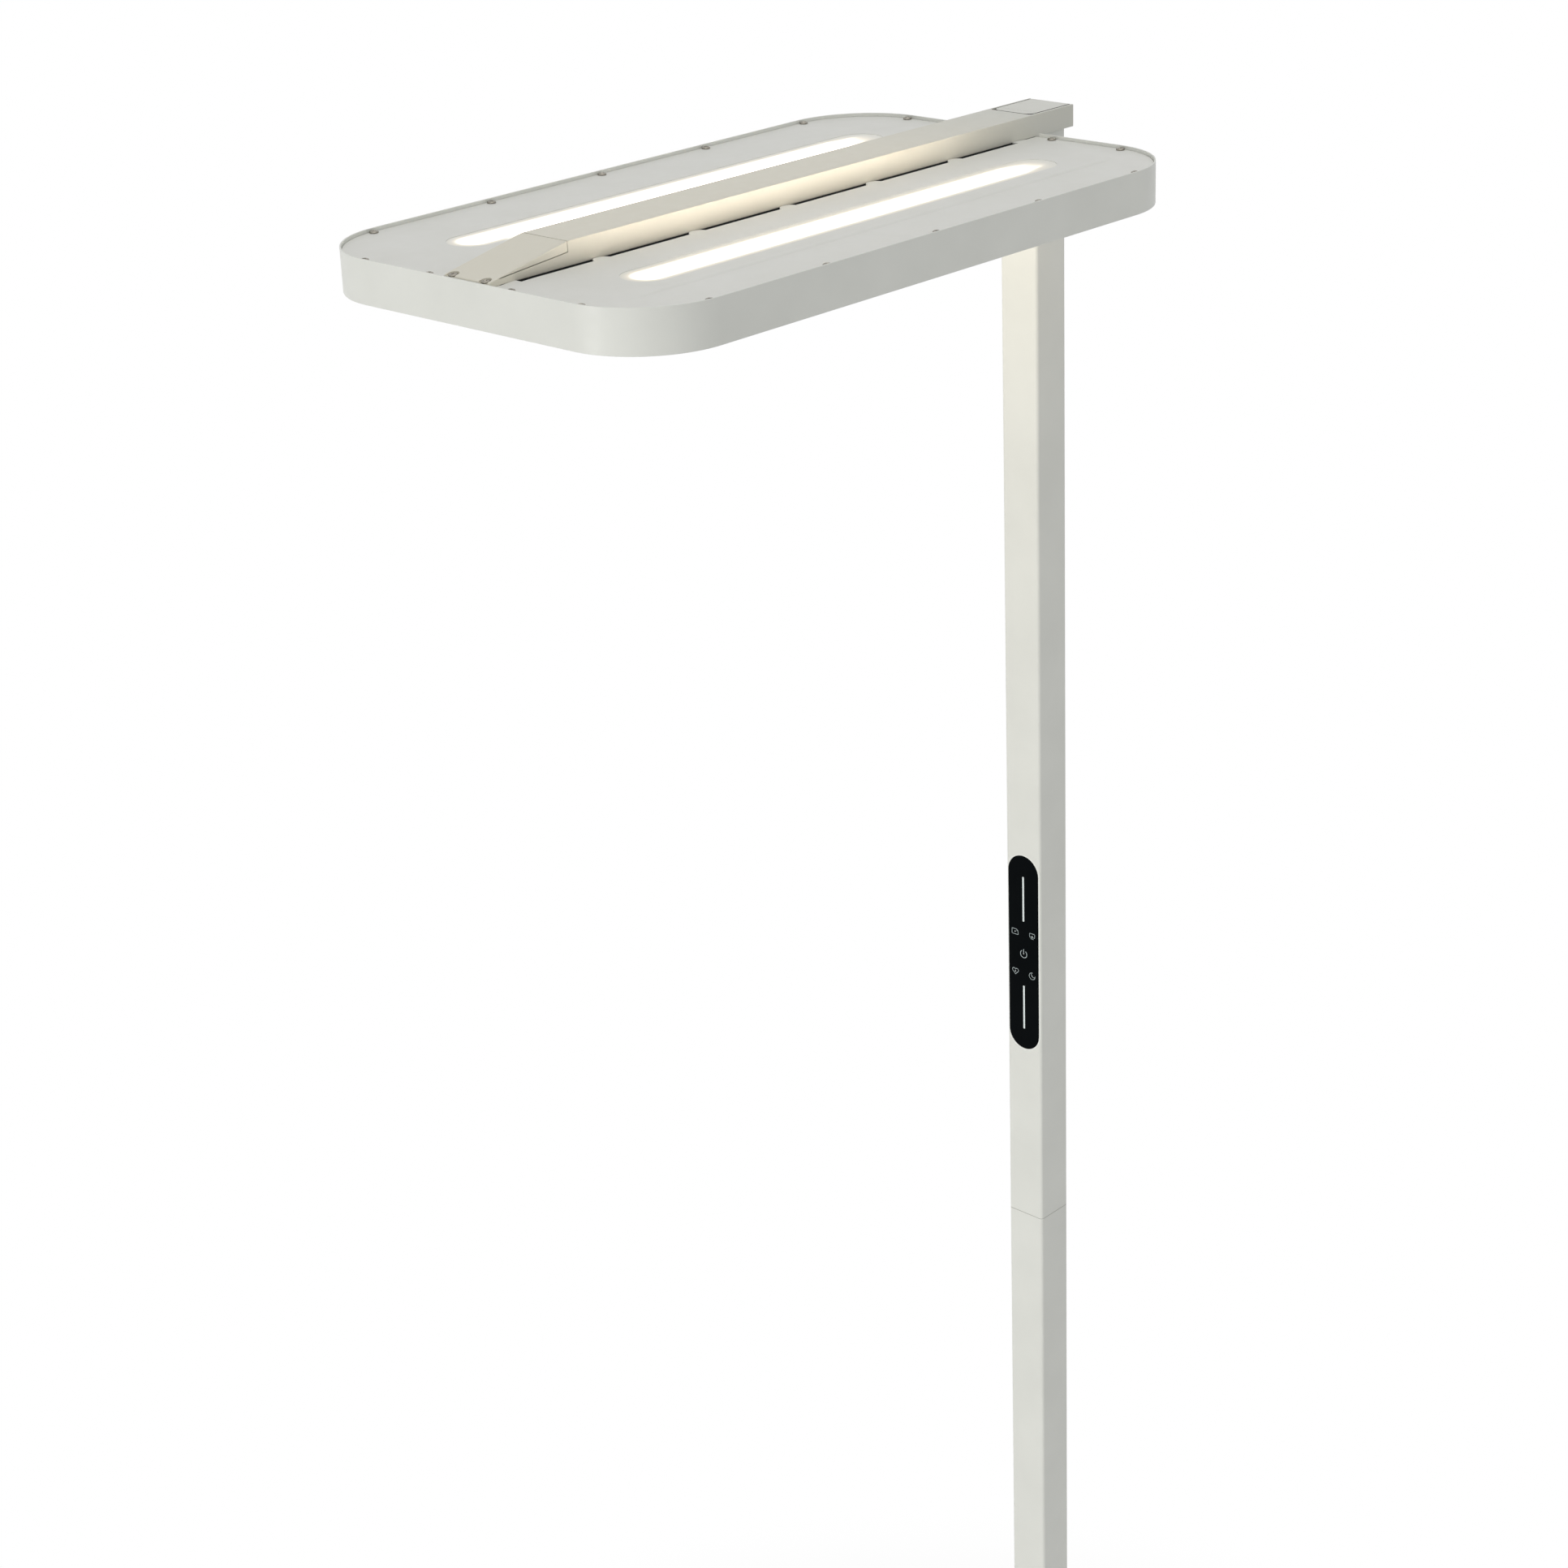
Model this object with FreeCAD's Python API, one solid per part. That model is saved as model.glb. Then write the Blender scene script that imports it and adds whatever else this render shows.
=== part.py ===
"""Office floor lamp: a flat head with an uplight and a downlight, a beam that carries it, a square
two-piece pole with a touch panel, and a steel base plate.

Millimetres. The origin is on the floor, on the pole's axis. +Z is up, and the head and the touch
panel look towards -Y. Every level is counted from the floor, and every plan size from the pole's axis
or from the head's own edges.
"""
import FreeCAD, Part
import math
import os

from FreeCAD import Vector

# ---- driving dimensions -------------------------------------------------------------------------
OVERALL_H = 2000.0        # floor to the top of the beam
FIT = 0.2                 # gap per side of a plug in a tube
SEAM = 0.3                # gap per side of a lid, lens or glass in its opening
THREAD_GAP = 0.05         # radial gap of a screw in its threaded hole
HOLE_GAP = 0.25           # radial gap of a screw in its clearance hole

# Base
BASE_L = 500.0            # along Y
BASE_W = 340.0
BASE_R = 60.0             # plan radius of the plate's corners
BASE_T = 8.0
BASE_BEHIND = 60.0        # from the pole's axis to the plate's rear edge
BASE_EDGE_R = 1.5         # rounding of the plate's top edge
PAD_T = 2.0               # anti-slip pad under the plate
PAD_INSET = 3.0
BASE_BOLT_D = 8.0
BASE_BOLT_HEAD_D = 15.0
BASE_BOLT_L = 30.0
BASE_BOLT_X = 9.5         # half the bolt spacing, both ways

# Pole
POLE_W = 38.5             # square tube, across flats
POLE_WALL = 2.0
POLE_R = 3.0              # outer corner radius
POLE_UPPER_L = 1009.0     # upper tube; the lower one has the rest of the height
FOOT_H = 60.0
JOINT_L = 200.0           # sleeve inside both tubes
JOINT_WALL = 3.0
POLE_SCREW_D = 5.0        # countersunk screws in the rear face
POLE_SCREW_HEAD_D = 9.0
POLE_SCREW_L = 9.0
POLE_SCREW_END = 22.0     # from a tube's end to its first screw
POLE_SCREW_PITCH = 32.0

# Mains inlet in the rear face
INLET_Z = 125.0           # centre above the floor
INLET_W = 27.0
INLET_H = 20.0
INLET_FLANGE = 2.0        # flange's thickness and its margin round the body
INLET_DEPTH = 18.0        # body behind the outer face of the pole
SOCKET_W = 24.0
SOCKET_H = 16.4
SOCKET_DEPTH = 15.5
SOCKET_BEVEL = 4.0
PIN_W = 2.0
PIN_H = 4.0
PIN_L = 13.0
PIN_SPACING = 7.0         # outer pins from the middle one, sideways
EARTH_RISE = 2.0          # the middle pin stands this much higher, the outer two this much lower
TAG_L = 7.0               # solder tags behind the body

# Touch panel in the front face
TOUCH_W = 33.6
TOUCH_H = 191.6
TOUCH_BELOW_TOP = 740.2   # from the top of the pole to the panel's centre
GLASS_T = 1.5
GASKET_T = 0.5
GASKET_W = 2.0
TOUCH_BOARD_T = 1.6
CARRIER_T = 6.0           # depth of the plastic carrier behind the tube's wall
CARRIER_WALL = 1.5
CARRIER_END = 8.0         # how far the carrier runs past the window, above and below
WINDOW_CHAMFER = 0.4

# Beam on top of the head
BEAM_W = 46.2
BEAM_H = 18.0
BEAM_SIDE = 3.3           # side walls
BEAM_TOP_T = 2.0
BEAM_BOTTOM_T = 3.0
BEAM_EDGE_R = 0.6
BEAM_RIB = 1.5            # ribs that the lid rests on
BEAM_BEHIND = 5.3         # rear end past the pole's rear face
LID_BEFORE = 26.9         # lid's front edge before the pole's axis
LID_CORNER_R = 7.0
LID_T = 2.0
LID_FLAP_T = 1.6
CAP_L = 75.5              # sloped cap at the front end
CAP_SIDE_H = 7.6          # cap's side flange where it meets the beam
CAP_T = 1.5
CAP_TIP_SET = 2.5         # cap's tip behind the rim's front face
CAP_TIP_RISE = 0.6        # top of the tip above the rim
CAP_NOSE_L = 9.5          # solid nose that the two screws hold
CAP_SCREW_X = 16.6
CAP_SCREW_SET = 3.0       # screw axis behind the tip
CAP_SEAT_DROP = 0.3       # screw seat below the rim's top
CAP_RECESS_R = 4.2
HEAD_BOLT_D = 6.0
HEAD_BOLT_L = 22.0
HEAD_BOLT_X = 12.0        # half the bolt spacing, both ways
BLOCK_H = 60.0
BLOCK_BORE_R = 9.0
BEAM_SCREW_D = 5.0
BEAM_SCREW_COUNT = 6
BEAM_SCREW_FIRST = 107.0  # from the rim's rear face to the first one
BEAM_SCREW_LAST = 62.0    # from the rim's front face to the last one

# Head
HEAD_L = 600.0            # along Y
HEAD_W = 353.8
HEAD_R = 70.0             # plan radius of the corners
HEAD_GAP = 3.2            # between the pole and the rim
RIM_H = 33.6
RIM_WALL = 1.2
RIM_LIP = 8.0             # inward lip at the bottom, from the outer face
RIM_EDGE_R = 0.4
NOTCH_GAP = 3.2           # rear notch past each side of the beam
COVER_RECESS = 2.8        # covers' screw border lies this far below the rim's top
COVER_T = 1.0
COVER_GAP = 0.4           # to the rim
PANEL_RISE = 1.0          # pressed panel above the covers' screw border
PANEL_SIDE = 48.9         # panel's foot from the rim's side faces
PANEL_END = 14.0          # panel's foot from the rim's front and rear faces
PANEL_R = 32.5            # plan radius of the foot's corners
PANEL_SLOPE = 4.0         # width of the panel's sloped edge along its side
PANEL_END_SLOPE = 26.0    # the same at its front and rear ends
SLOT_X = 89.5             # light slot's centre line
SLOT_W = 39.0
SLOT_END = 70.0           # from the head's end to the slot's end
VENT_W = 6.5              # gap between the panels and the beam, from the border's inner edge
VENT_FRONT = 26.5         # gap's front end from the rim's front face
VENT_REAR = 32.0          # gap's rear end from the rim's rear face
TAB_COUNT = 5
TAB_R = 8.0
TAB_TIP = 0.2             # tabs' tips from the border's inner edge
TAB_END = 77.5            # first and last tab from the gap's ends
COVER_SCREW_D = 3.5
COVER_SCREW_HEAD_D = 6.9
COVER_SCREW_HEAD_H = 1.7
COVER_SCREW_L = 12.0
COVER_SCREW_INSET = 5.0   # axis from the rim's outer face
COVER_SCREW_INTO_R = 4.0  # end screws lie this far past where the corner starts
LONG_SIDE_SCREWS = 5
SHORT_SCREW_BY_BEAM = 18.9  # inner screws of the short sides, from the beam's side
STANDOFF_R = 3.5

# Layers in the head, from the bottom up
DIFFUSER_T = 2.0
GUIDE_T = 3.0
FOIL_T = 0.3
CHASSIS_T = 1.0
STACK_GAP = 0.5           # plates to the rim's wall
GUIDE_SET = 16.0          # guide's edge from the rim's outer face
STRIP_T = 1.6
EDGE_LED_T = 1.2
EDGE_LED_W = 3.0
EDGE_LED_COUNT = 36
LED_GAP = 0.4
BRACKET_L = 16.0
BRACKET_LEG = 12.0
BRACKET_H = 15.0
BRACKET_T = 1.5
STUD_D = 4.0
STUD_L = 7.0
NUT_AF = 7.0
NUT_H = 3.2
SPINE_GAP = 0.1           # spine narrower than the beam, per side
SPINE_T = 1.5
SPINE_FOOT = 10.0
SPINE_END = 1.5           # spine's ends to the rim's inner faces
SPINE_STUDS = 4           # per side
SPINE_STUD_END = 80.0     # end studs from the head's ends
SPINE_WINDOW = 24.0

# Uplight
LENS_T = 1.2
LENS_FLANGE = 3.0
LENS_DROP = 0.2           # lens face below the panel's top
TROUGH_T = 0.6
TROUGH_TOP = 4.0          # trough's edge past the slot, per side
TROUGH_FOOT_W = 34.0
BOARD_T = 1.6
BOARD_GAP = 1.4           # board to the trough, per side
LED_W = 3.0
LED_T = 0.8
UP_LED_COUNT = 24
DRIVER_W = 30.0
DRIVER_ROOM = 5.3         # between a driver and the level of the cover's border
DRIVER_L = 280.0
DRIVER_BY_BEAM = 6.0      # driver's side from the beam's side
DRIVER_REAR = 100.0       # from the rim's rear face
DRIVER_TAB = 8.0
DRIVER_SCREW_D = 3.0
TERMINAL_W = 22.0
TERMINAL_L = 30.0
TERMINAL_H = 14.0
TERMINAL_REAR = 40.0      # from the rim's rear face

# Leads inside
MAINS_D = 5.0
MAINS_X = 3.1
CONTROL_D = 3.6
CONTROL_X = -3.1
LEAD_Y = 3.0              # both leads behind the pole's axis in the upper part
LEAD_BEND = 9.0
DROP_Y = -75.0            # where the leads drop from the beam into the head
DROP_R = 9.0

# ---- levels and edges worked out from them --------------------------------------------------------
BEAM_BOTTOM = OVERALL_H - BEAM_H
COVER_TOP = BEAM_BOTTOM
COVER_BOTTOM = COVER_TOP - COVER_T
PANEL_TOP = COVER_TOP + PANEL_RISE
PANEL_BOTTOM = PANEL_TOP - COVER_T
RIM_TOP = COVER_TOP + COVER_RECESS
RIM_BOTTOM = RIM_TOP - RIM_H
DIFFUSER_Z = RIM_BOTTOM + RIM_WALL
GUIDE_Z = DIFFUSER_Z + DIFFUSER_T
FOIL_Z = GUIDE_Z + GUIDE_T
CHASSIS_Z = FOIL_Z + FOIL_T
CHASSIS_TOP = CHASSIS_Z + CHASSIS_T
LENS_Z = PANEL_BOTTOM - LENS_T

HALF_POLE = POLE_W / 2
POLE_INNER = POLE_W - 2 * POLE_WALL
POLE_INNER_R = max(POLE_R - POLE_WALL, 0.5)
PLUG_W = POLE_INNER - 2 * FIT
PLATE_TOP = PAD_T + BASE_T
POLE_SEAM_Z = BEAM_BOTTOM - POLE_UPPER_L
TOUCH_Z = BEAM_BOTTOM - TOUCH_BELOW_TOP

HEAD_REAR = -(HALF_POLE + HEAD_GAP)
HEAD_FRONT = HEAD_REAR - HEAD_L
HEAD_MID = (HEAD_REAR + HEAD_FRONT) / 2
HALF_HEAD = HEAD_W / 2
BEAM_REAR = HALF_POLE + BEAM_BEHIND
CAP_TIP = HEAD_FRONT + CAP_TIP_SET
CAP_JOINT = CAP_TIP + CAP_L
CAP_NOSE_BACK = CAP_TIP + CAP_NOSE_L
HALF_BEAM = BEAM_W / 2
BEAM_INNER = BEAM_W - 2 * BEAM_SIDE
BEAM_FLOOR = BEAM_BOTTOM + BEAM_BOTTOM_T
SLOT_L = HEAD_L - 2 * SLOT_END
GUIDE_HALF_W = HALF_HEAD - GUIDE_SET
SPINE_HALF_W = HALF_BEAM - SPINE_GAP
STRIP_L = HEAD_L - 2 * HEAD_R
DRIVER_X = HALF_BEAM + DRIVER_BY_BEAM + DRIVER_W / 2
DRIVER_H = COVER_BOTTOM - CHASSIS_TOP - DRIVER_ROOM
SIDES = {"left": -1, "right": 1}


# ---- helpers --------------------------------------------------------------------------------------
def box(x0, x1, y0, y1, z0, z1):
    """A block between two corners."""
    return Part.makeBox(x1 - x0, y1 - y0, z1 - z0, Vector(x0, y0, z0))


def rod(x, y, z, radius, length, direction=Vector(0, 0, 1)):
    """A cylinder from a point along a direction."""
    return Part.makeCylinder(radius, length, Vector(x, y, z), direction)


def fuse(shapes):
    """One solid from touching or overlapping ones."""
    whole = shapes[0].fuse(shapes[1:]) if len(shapes) > 1 else shapes[0]
    return whole.removeSplitter()


def cut(shape, tools):
    """A shape less all the tools."""
    return shape.cut(tools) if tools else shape


def rounded_wire(x0, x1, y0, y1, r, z):
    """A rectangle with round corners, in plan."""
    a = Part.LineSegment(Vector(x0 + r, y0, z), Vector(x1 - r, y0, z))
    b = Part.LineSegment(Vector(x1, y0 + r, z), Vector(x1, y1 - r, z))
    c = Part.LineSegment(Vector(x1 - r, y1, z), Vector(x0 + r, y1, z))
    d = Part.LineSegment(Vector(x0, y1 - r, z), Vector(x0, y0 + r, z))
    s = r * (1 - 0.5 ** 0.5)
    ab = Part.Arc(Vector(x1 - r, y0, z), Vector(x1 - s, y0 + s, z), Vector(x1, y0 + r, z))
    bc = Part.Arc(Vector(x1, y1 - r, z), Vector(x1 - s, y1 - s, z), Vector(x1 - r, y1, z))
    cd = Part.Arc(Vector(x0 + r, y1, z), Vector(x0 + s, y1 - s, z), Vector(x0, y1 - r, z))
    da = Part.Arc(Vector(x0, y0 + r, z), Vector(x0 + s, y0 + s, z), Vector(x0 + r, y0, z))
    return Part.Wire([edge.toShape() for edge in (a, ab, b, bc, c, cd, d, da)])


def rounded_plate(x0, x1, y0, y1, r, z0, z1):
    """A plate with round corners in plan."""
    return Part.Face(rounded_wire(x0, x1, y0, y1, r, z0)).extrude(Vector(0, 0, z1 - z0))


def head_plate(inset, z0, z1):
    """A plate with the head's outline, a given distance inside its outer face."""
    half = HALF_HEAD - inset
    return rounded_plate(-half, half, HEAD_FRONT + inset, HEAD_REAR - inset, HEAD_R - inset, z0, z1)


def stadium_wire(cx, cy, width, length, z):
    """A slot outline along Y."""
    r = width / 2
    y0 = cy - length / 2 + r
    y1 = cy + length / 2 - r
    right = Part.LineSegment(Vector(cx + r, y0, z), Vector(cx + r, y1, z))
    rear = Part.Arc(Vector(cx + r, y1, z), Vector(cx, y1 + r, z), Vector(cx - r, y1, z))
    left = Part.LineSegment(Vector(cx - r, y1, z), Vector(cx - r, y0, z))
    front = Part.Arc(Vector(cx - r, y0, z), Vector(cx, y0 - r, z), Vector(cx + r, y0, z))
    return Part.Wire([edge.toShape() for edge in (right, rear, left, front)])


def stadium(cx, cy, width, length, z0, z1):
    """A slot-shaped plate along Y."""
    return Part.Face(stadium_wire(cx, cy, width, length, z0)).extrude(Vector(0, 0, z1 - z0))


def upright_stadium(width, height, z_mid, y0, y1):
    """A slot-shaped plate that stands in the pole's face, from y0 back to y1."""
    flat = stadium(0, 0, width, height, 0, y1 - y0)
    flat.rotate(Vector(0, 0, 0), Vector(1, 0, 0), 90)
    flat.translate(Vector(0, y1, z_mid))
    return flat


def square_bar(width, radius, z0, z1):
    """A square bar on the pole's axis."""
    half = width / 2
    return rounded_plate(-half, half, -half, half, radius, z0, z1)


def profile(points, x0, x1):
    """A solid from an outline of (y, z) points, between two x values."""
    ring = [Vector(x0, y, z) for y, z in points]
    ring.append(ring[0])
    return Part.Face(Part.makePolygon(ring)).extrude(Vector(x1 - x0, 0, 0))


def level_edges(shape, z, least=0.0):
    """Edges that lie flat at a level."""
    edges = []
    for edge in shape.Edges:
        b = edge.BoundBox
        if abs(b.ZMin - z) < 1e-4 and abs(b.ZMax - z) < 1e-4 and edge.Length > least:
            edges.append(edge)
    return edges


def spread(first, last, count):
    """Evenly spaced values, both ends included."""
    return [first + (last - first) * i / (count - 1) for i in range(count)]


def mirrored(shape):
    """The same shape on the other side of the lamp's middle plane."""
    return shape.mirror(Vector(0, 0, 0), Vector(1, 0, 0))


def countersunk(x, y, z, diameter, head_diameter, length, direction):
    """A countersunk screw with a hexagon socket; its head's face is at the point."""
    cone_h = (head_diameter - diameter) / 2
    base = Vector(x, y, z)
    head = Part.makeCone(head_diameter / 2, diameter / 2, cone_h, base, direction)
    shank = Part.makeCylinder(diameter / 2, length, base, direction)
    return fuse([head, shank]).cut(hex_socket(base, direction, diameter * 0.6, cone_h))


def hex_socket(point, direction, across, depth):
    """The hole for a hexagon key."""
    ring = [Vector(across / 3 ** 0.5, 0, 0)]
    turn = FreeCAD.Rotation(Vector(0, 0, 1), 60)
    for _ in range(6):
        ring.append(turn.multVec(ring[-1]))
    ring[-1] = ring[0]
    hole = Part.Face(Part.makePolygon(ring)).extrude(Vector(0, 0, depth))
    hole.Placement = FreeCAD.Placement(point, FreeCAD.Rotation(Vector(0, 0, 1), direction))
    return hole


def pan_screw(x, y, z, diameter, head_diameter, head_h, length):
    """A pan-head screw that points down, its head seated at z, with a cross recess."""
    head = rod(x, y, z, head_diameter / 2, head_h)
    head = head.makeFillet(head_h * 0.6, level_edges(head, z + head_h))
    shank = rod(x, y, z - length, diameter / 2, length)
    arm = head_diameter * 0.27
    slit = head_diameter * 0.07
    top = z + head_h
    deep = top - head_h * 0.55
    cross = [box(x - arm, x + arm, y - slit, y + slit, deep, top + 1),
             box(x - slit, x + slit, y - arm, y + arm, deep, top + 1)]
    return cut(fuse([head, shank]), cross)


def lead(points, bend, diameter):
    """A round lead along straight runs that are joined by tangent arcs."""
    points = [Vector(*p) for p in points]
    edges = []
    at = points[0]
    for before, corner, after in zip(points, points[1:], points[2:]):
        back = (before - corner).normalize()
        on = (after - corner).normalize()
        half_turn = back.getAngle(on) / 2
        reach = min(bend / math.tan(half_turn), 0.45 * (before - corner).Length,
                    0.45 * (after - corner).Length)
        start = corner + back * reach
        end = corner + on * reach
        radius = reach * math.tan(half_turn)
        middle_way = (back + on).normalize()
        middle = corner + middle_way * ((reach ** 2 + radius ** 2) ** 0.5 - radius)
        edges.append(Part.LineSegment(at, start).toShape())
        edges.append(Part.Arc(start, middle, end).toShape())
        at = end
    edges.append(Part.LineSegment(at, points[-1]).toShape())
    path = Part.Wire(edges)
    along = (points[1] - points[0]).normalize()
    section = Part.Wire(Part.makeCircle(diameter / 2, points[0], along))
    return path.makePipeShell([section], True, False)


# ---- base -----------------------------------------------------------------------------------------
def base_outline(inset, z0, z1):
    """The base's outline, a given distance inside its edge."""
    half = BASE_W / 2 - inset
    rear = BASE_BEHIND - inset
    front = BASE_BEHIND - BASE_L + inset
    return rounded_plate(-half, half, front, rear, BASE_R - inset, z0, z1)


def base_bolt_places():
    """Axes of the four bolts that hold the pole's foot."""
    return [(x, y) for x in (-BASE_BOLT_X, BASE_BOLT_X) for y in (-BASE_BOLT_X, BASE_BOLT_X)]


def base_bolt(x, y, gap):
    """One bolt, or with a gap the hole for it."""
    bolt = rod(x, y, PAD_T, BASE_BOLT_D / 2 + gap, BASE_BOLT_L)
    head_h = (BASE_BOLT_HEAD_D - BASE_BOLT_D) / 2
    head = Part.makeCone(BASE_BOLT_HEAD_D / 2 + gap, BASE_BOLT_D / 2 + gap, head_h, Vector(x, y, PAD_T))
    return fuse([bolt, head])


def base_pad():
    """Anti-slip pad that covers the underside of the plate."""
    return base_outline(PAD_INSET, 0, PAD_T)


def base_plate():
    """Steel plate with four countersunk holes from below."""
    plate = base_outline(0, PAD_T, PLATE_TOP)
    plate = plate.makeFillet(BASE_EDGE_R, level_edges(plate, PLATE_TOP))
    return cut(plate, [base_bolt(x, y, HOLE_GAP) for x, y in base_bolt_places()])


def base_bolts():
    """Four countersunk bolts, driven from below."""
    bolts = []
    for x, y in base_bolt_places():
        socket = hex_socket(Vector(x, y, PAD_T), Vector(0, 0, 1), BASE_BOLT_D * 0.6, BASE_BOLT_D * 0.5)
        bolts.append(base_bolt(x, y, 0).cut(socket))
    return Part.makeCompound(bolts)


# ---- pole -----------------------------------------------------------------------------------------
def pole_screw_holes(levels):
    """Countersunk holes through the tube's rear wall."""
    reach = POLE_SCREW_L + 1
    return [countersunk_gap(z, reach) for z in levels]


def countersunk_gap(z, reach):
    """The space of one rear-face screw, with its clearance."""
    at = Vector(0, HALF_POLE, z)
    inward = Vector(0, -1, 0)
    radius = POLE_SCREW_D / 2 + HOLE_GAP
    head_radius = POLE_SCREW_HEAD_D / 2 + HOLE_GAP
    cone = Part.makeCone(head_radius, radius, head_radius - radius, at, inward)
    return fuse([cone, Part.makeCylinder(radius, reach, at, inward)])


def threaded_holes(levels):
    """Threaded holes in what lies behind the tube's rear wall."""
    radius = POLE_SCREW_D / 2 + THREAD_GAP
    return [Part.makeCylinder(radius, POLE_SCREW_L + 2, Vector(0, HALF_POLE, z), Vector(0, -1, 0))
            for z in levels]


def rear_screws(levels):
    """Screws in the pole's rear face at the given levels."""
    inward = Vector(0, -1, 0)
    return Part.makeCompound([countersunk(0, HALF_POLE, z, POLE_SCREW_D, POLE_SCREW_HEAD_D,
                                          POLE_SCREW_L, inward) for z in levels])


def foot_levels():
    """Screws that hold the lower tube on its foot."""
    return [PLATE_TOP + POLE_SCREW_END]


def joint_levels():
    """Screws that hold both tubes on the sleeve, below and above the seam."""
    near = POLE_SCREW_END
    far = POLE_SCREW_END + POLE_SCREW_PITCH
    return [POLE_SEAM_Z - far, POLE_SEAM_Z - near, POLE_SEAM_Z + near, POLE_SEAM_Z + far]


def block_levels():
    """Screws that hold the upper tube on the block at its top."""
    return [BEAM_BOTTOM - POLE_SCREW_END]


def tube(z0, z1):
    """A length of the pole's square tube."""
    inner = square_bar(POLE_INNER, POLE_INNER_R, z0, z1)
    return square_bar(POLE_W, POLE_R, z0, z1).cut(inner)


def pole_lower():
    """Lower tube, with the inlet's opening and its screw holes."""
    half_w = INLET_W / 2 + FIT
    half_h = INLET_H / 2 + FIT
    opening = box(-half_w, half_w, HALF_POLE - POLE_WALL - 1, HALF_POLE + 1,
                  INLET_Z - half_h, INLET_Z + half_h)
    levels = foot_levels() + [z for z in joint_levels() if z < POLE_SEAM_Z]
    return cut(tube(PLATE_TOP, POLE_SEAM_Z), [opening] + pole_screw_holes(levels))


def pole_upper():
    """Upper tube, with the touch panel's window and its screw holes."""
    window = upright_stadium(TOUCH_W + 2 * SEAM, TOUCH_H + 2 * SEAM, TOUCH_Z,
                             -HALF_POLE - 1, -HALF_POLE + POLE_WALL + 1)
    levels = block_levels() + [z for z in joint_levels() if z > POLE_SEAM_Z]
    pole = cut(tube(POLE_SEAM_Z, BEAM_BOTTOM), [window] + pole_screw_holes(levels))
    rim = []
    for edge in pole.Edges:
        b = edge.BoundBox
        on_face = abs(b.YMin + HALF_POLE) < 1e-4 and abs(b.YMax + HALF_POLE) < 1e-4
        by_window = abs(b.ZMin - TOUCH_Z) < TOUCH_H and abs(b.ZMax - TOUCH_Z) < TOUCH_H
        if on_face and by_window:
            rim.append(edge)
    return pole.makeChamfer(WINDOW_CHAMFER, rim)


def pole_foot():
    """Steel block in the lower end of the pole, bolted down from below."""
    block = square_bar(PLUG_W, 1, PLATE_TOP, PLATE_TOP + FOOT_H)
    depth = PAD_T + BASE_BOLT_L + 2 - PLATE_TOP
    radius = BASE_BOLT_D / 2 + THREAD_GAP
    holes = [rod(x, y, PLATE_TOP, radius, depth) for x, y in base_bolt_places()]
    return cut(block, holes + threaded_holes(foot_levels()))


def pole_joint():
    """Sleeve inside both tubes at the seam."""
    low = POLE_SEAM_Z - JOINT_L / 2
    high = POLE_SEAM_Z + JOINT_L / 2
    outer = square_bar(PLUG_W, 1, low, high)
    inner = square_bar(PLUG_W - 2 * JOINT_WALL, 0.5, low, high)
    return cut(outer, [inner] + threaded_holes(joint_levels()))


def head_block():
    """Block in the upper end of the pole that the beam is bolted to."""
    block = square_bar(PLUG_W, 1, BEAM_BOTTOM - BLOCK_H, BEAM_BOTTOM)
    bore = rod(0, 0, BEAM_BOTTOM - BLOCK_H, BLOCK_BORE_R, BLOCK_H)
    depth = HEAD_BOLT_L
    radius = HEAD_BOLT_D / 2 + THREAD_GAP
    holes = [rod(x, y, BEAM_BOTTOM - depth, radius, depth) for x, y in head_bolt_places()]
    return cut(block, [bore] + holes + threaded_holes(block_levels()))


def head_bolt_places():
    """Axes of the four bolts that hold the beam on the pole."""
    return [(x, y) for x in (-HEAD_BOLT_X, HEAD_BOLT_X) for y in (-HEAD_BOLT_X, HEAD_BOLT_X)]


def head_bolts():
    """Four cap screws under the lid."""
    bolts = []
    for x, y in head_bolt_places():
        head = rod(x, y, BEAM_FLOOR, HEAD_BOLT_D * 0.82, HEAD_BOLT_D * 0.6)
        shank = rod(x, y, BEAM_FLOOR - HEAD_BOLT_L, HEAD_BOLT_D / 2, HEAD_BOLT_L)
        top = Vector(x, y, BEAM_FLOOR + HEAD_BOLT_D * 0.6)
        socket = hex_socket(top, Vector(0, 0, -1), HEAD_BOLT_D * 0.6, HEAD_BOLT_D * 0.4)
        bolts.append(fuse([head, shank]).cut(socket))
    return Part.makeCompound(bolts)


# ---- mains inlet ----------------------------------------------------------------------------------
def pin_places():
    """Centres (x, z) of the inlet's three pins."""
    return [(-PIN_SPACING, INLET_Z - EARTH_RISE), (0, INLET_Z + EARTH_RISE),
            (PIN_SPACING, INLET_Z - EARTH_RISE)]


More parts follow.
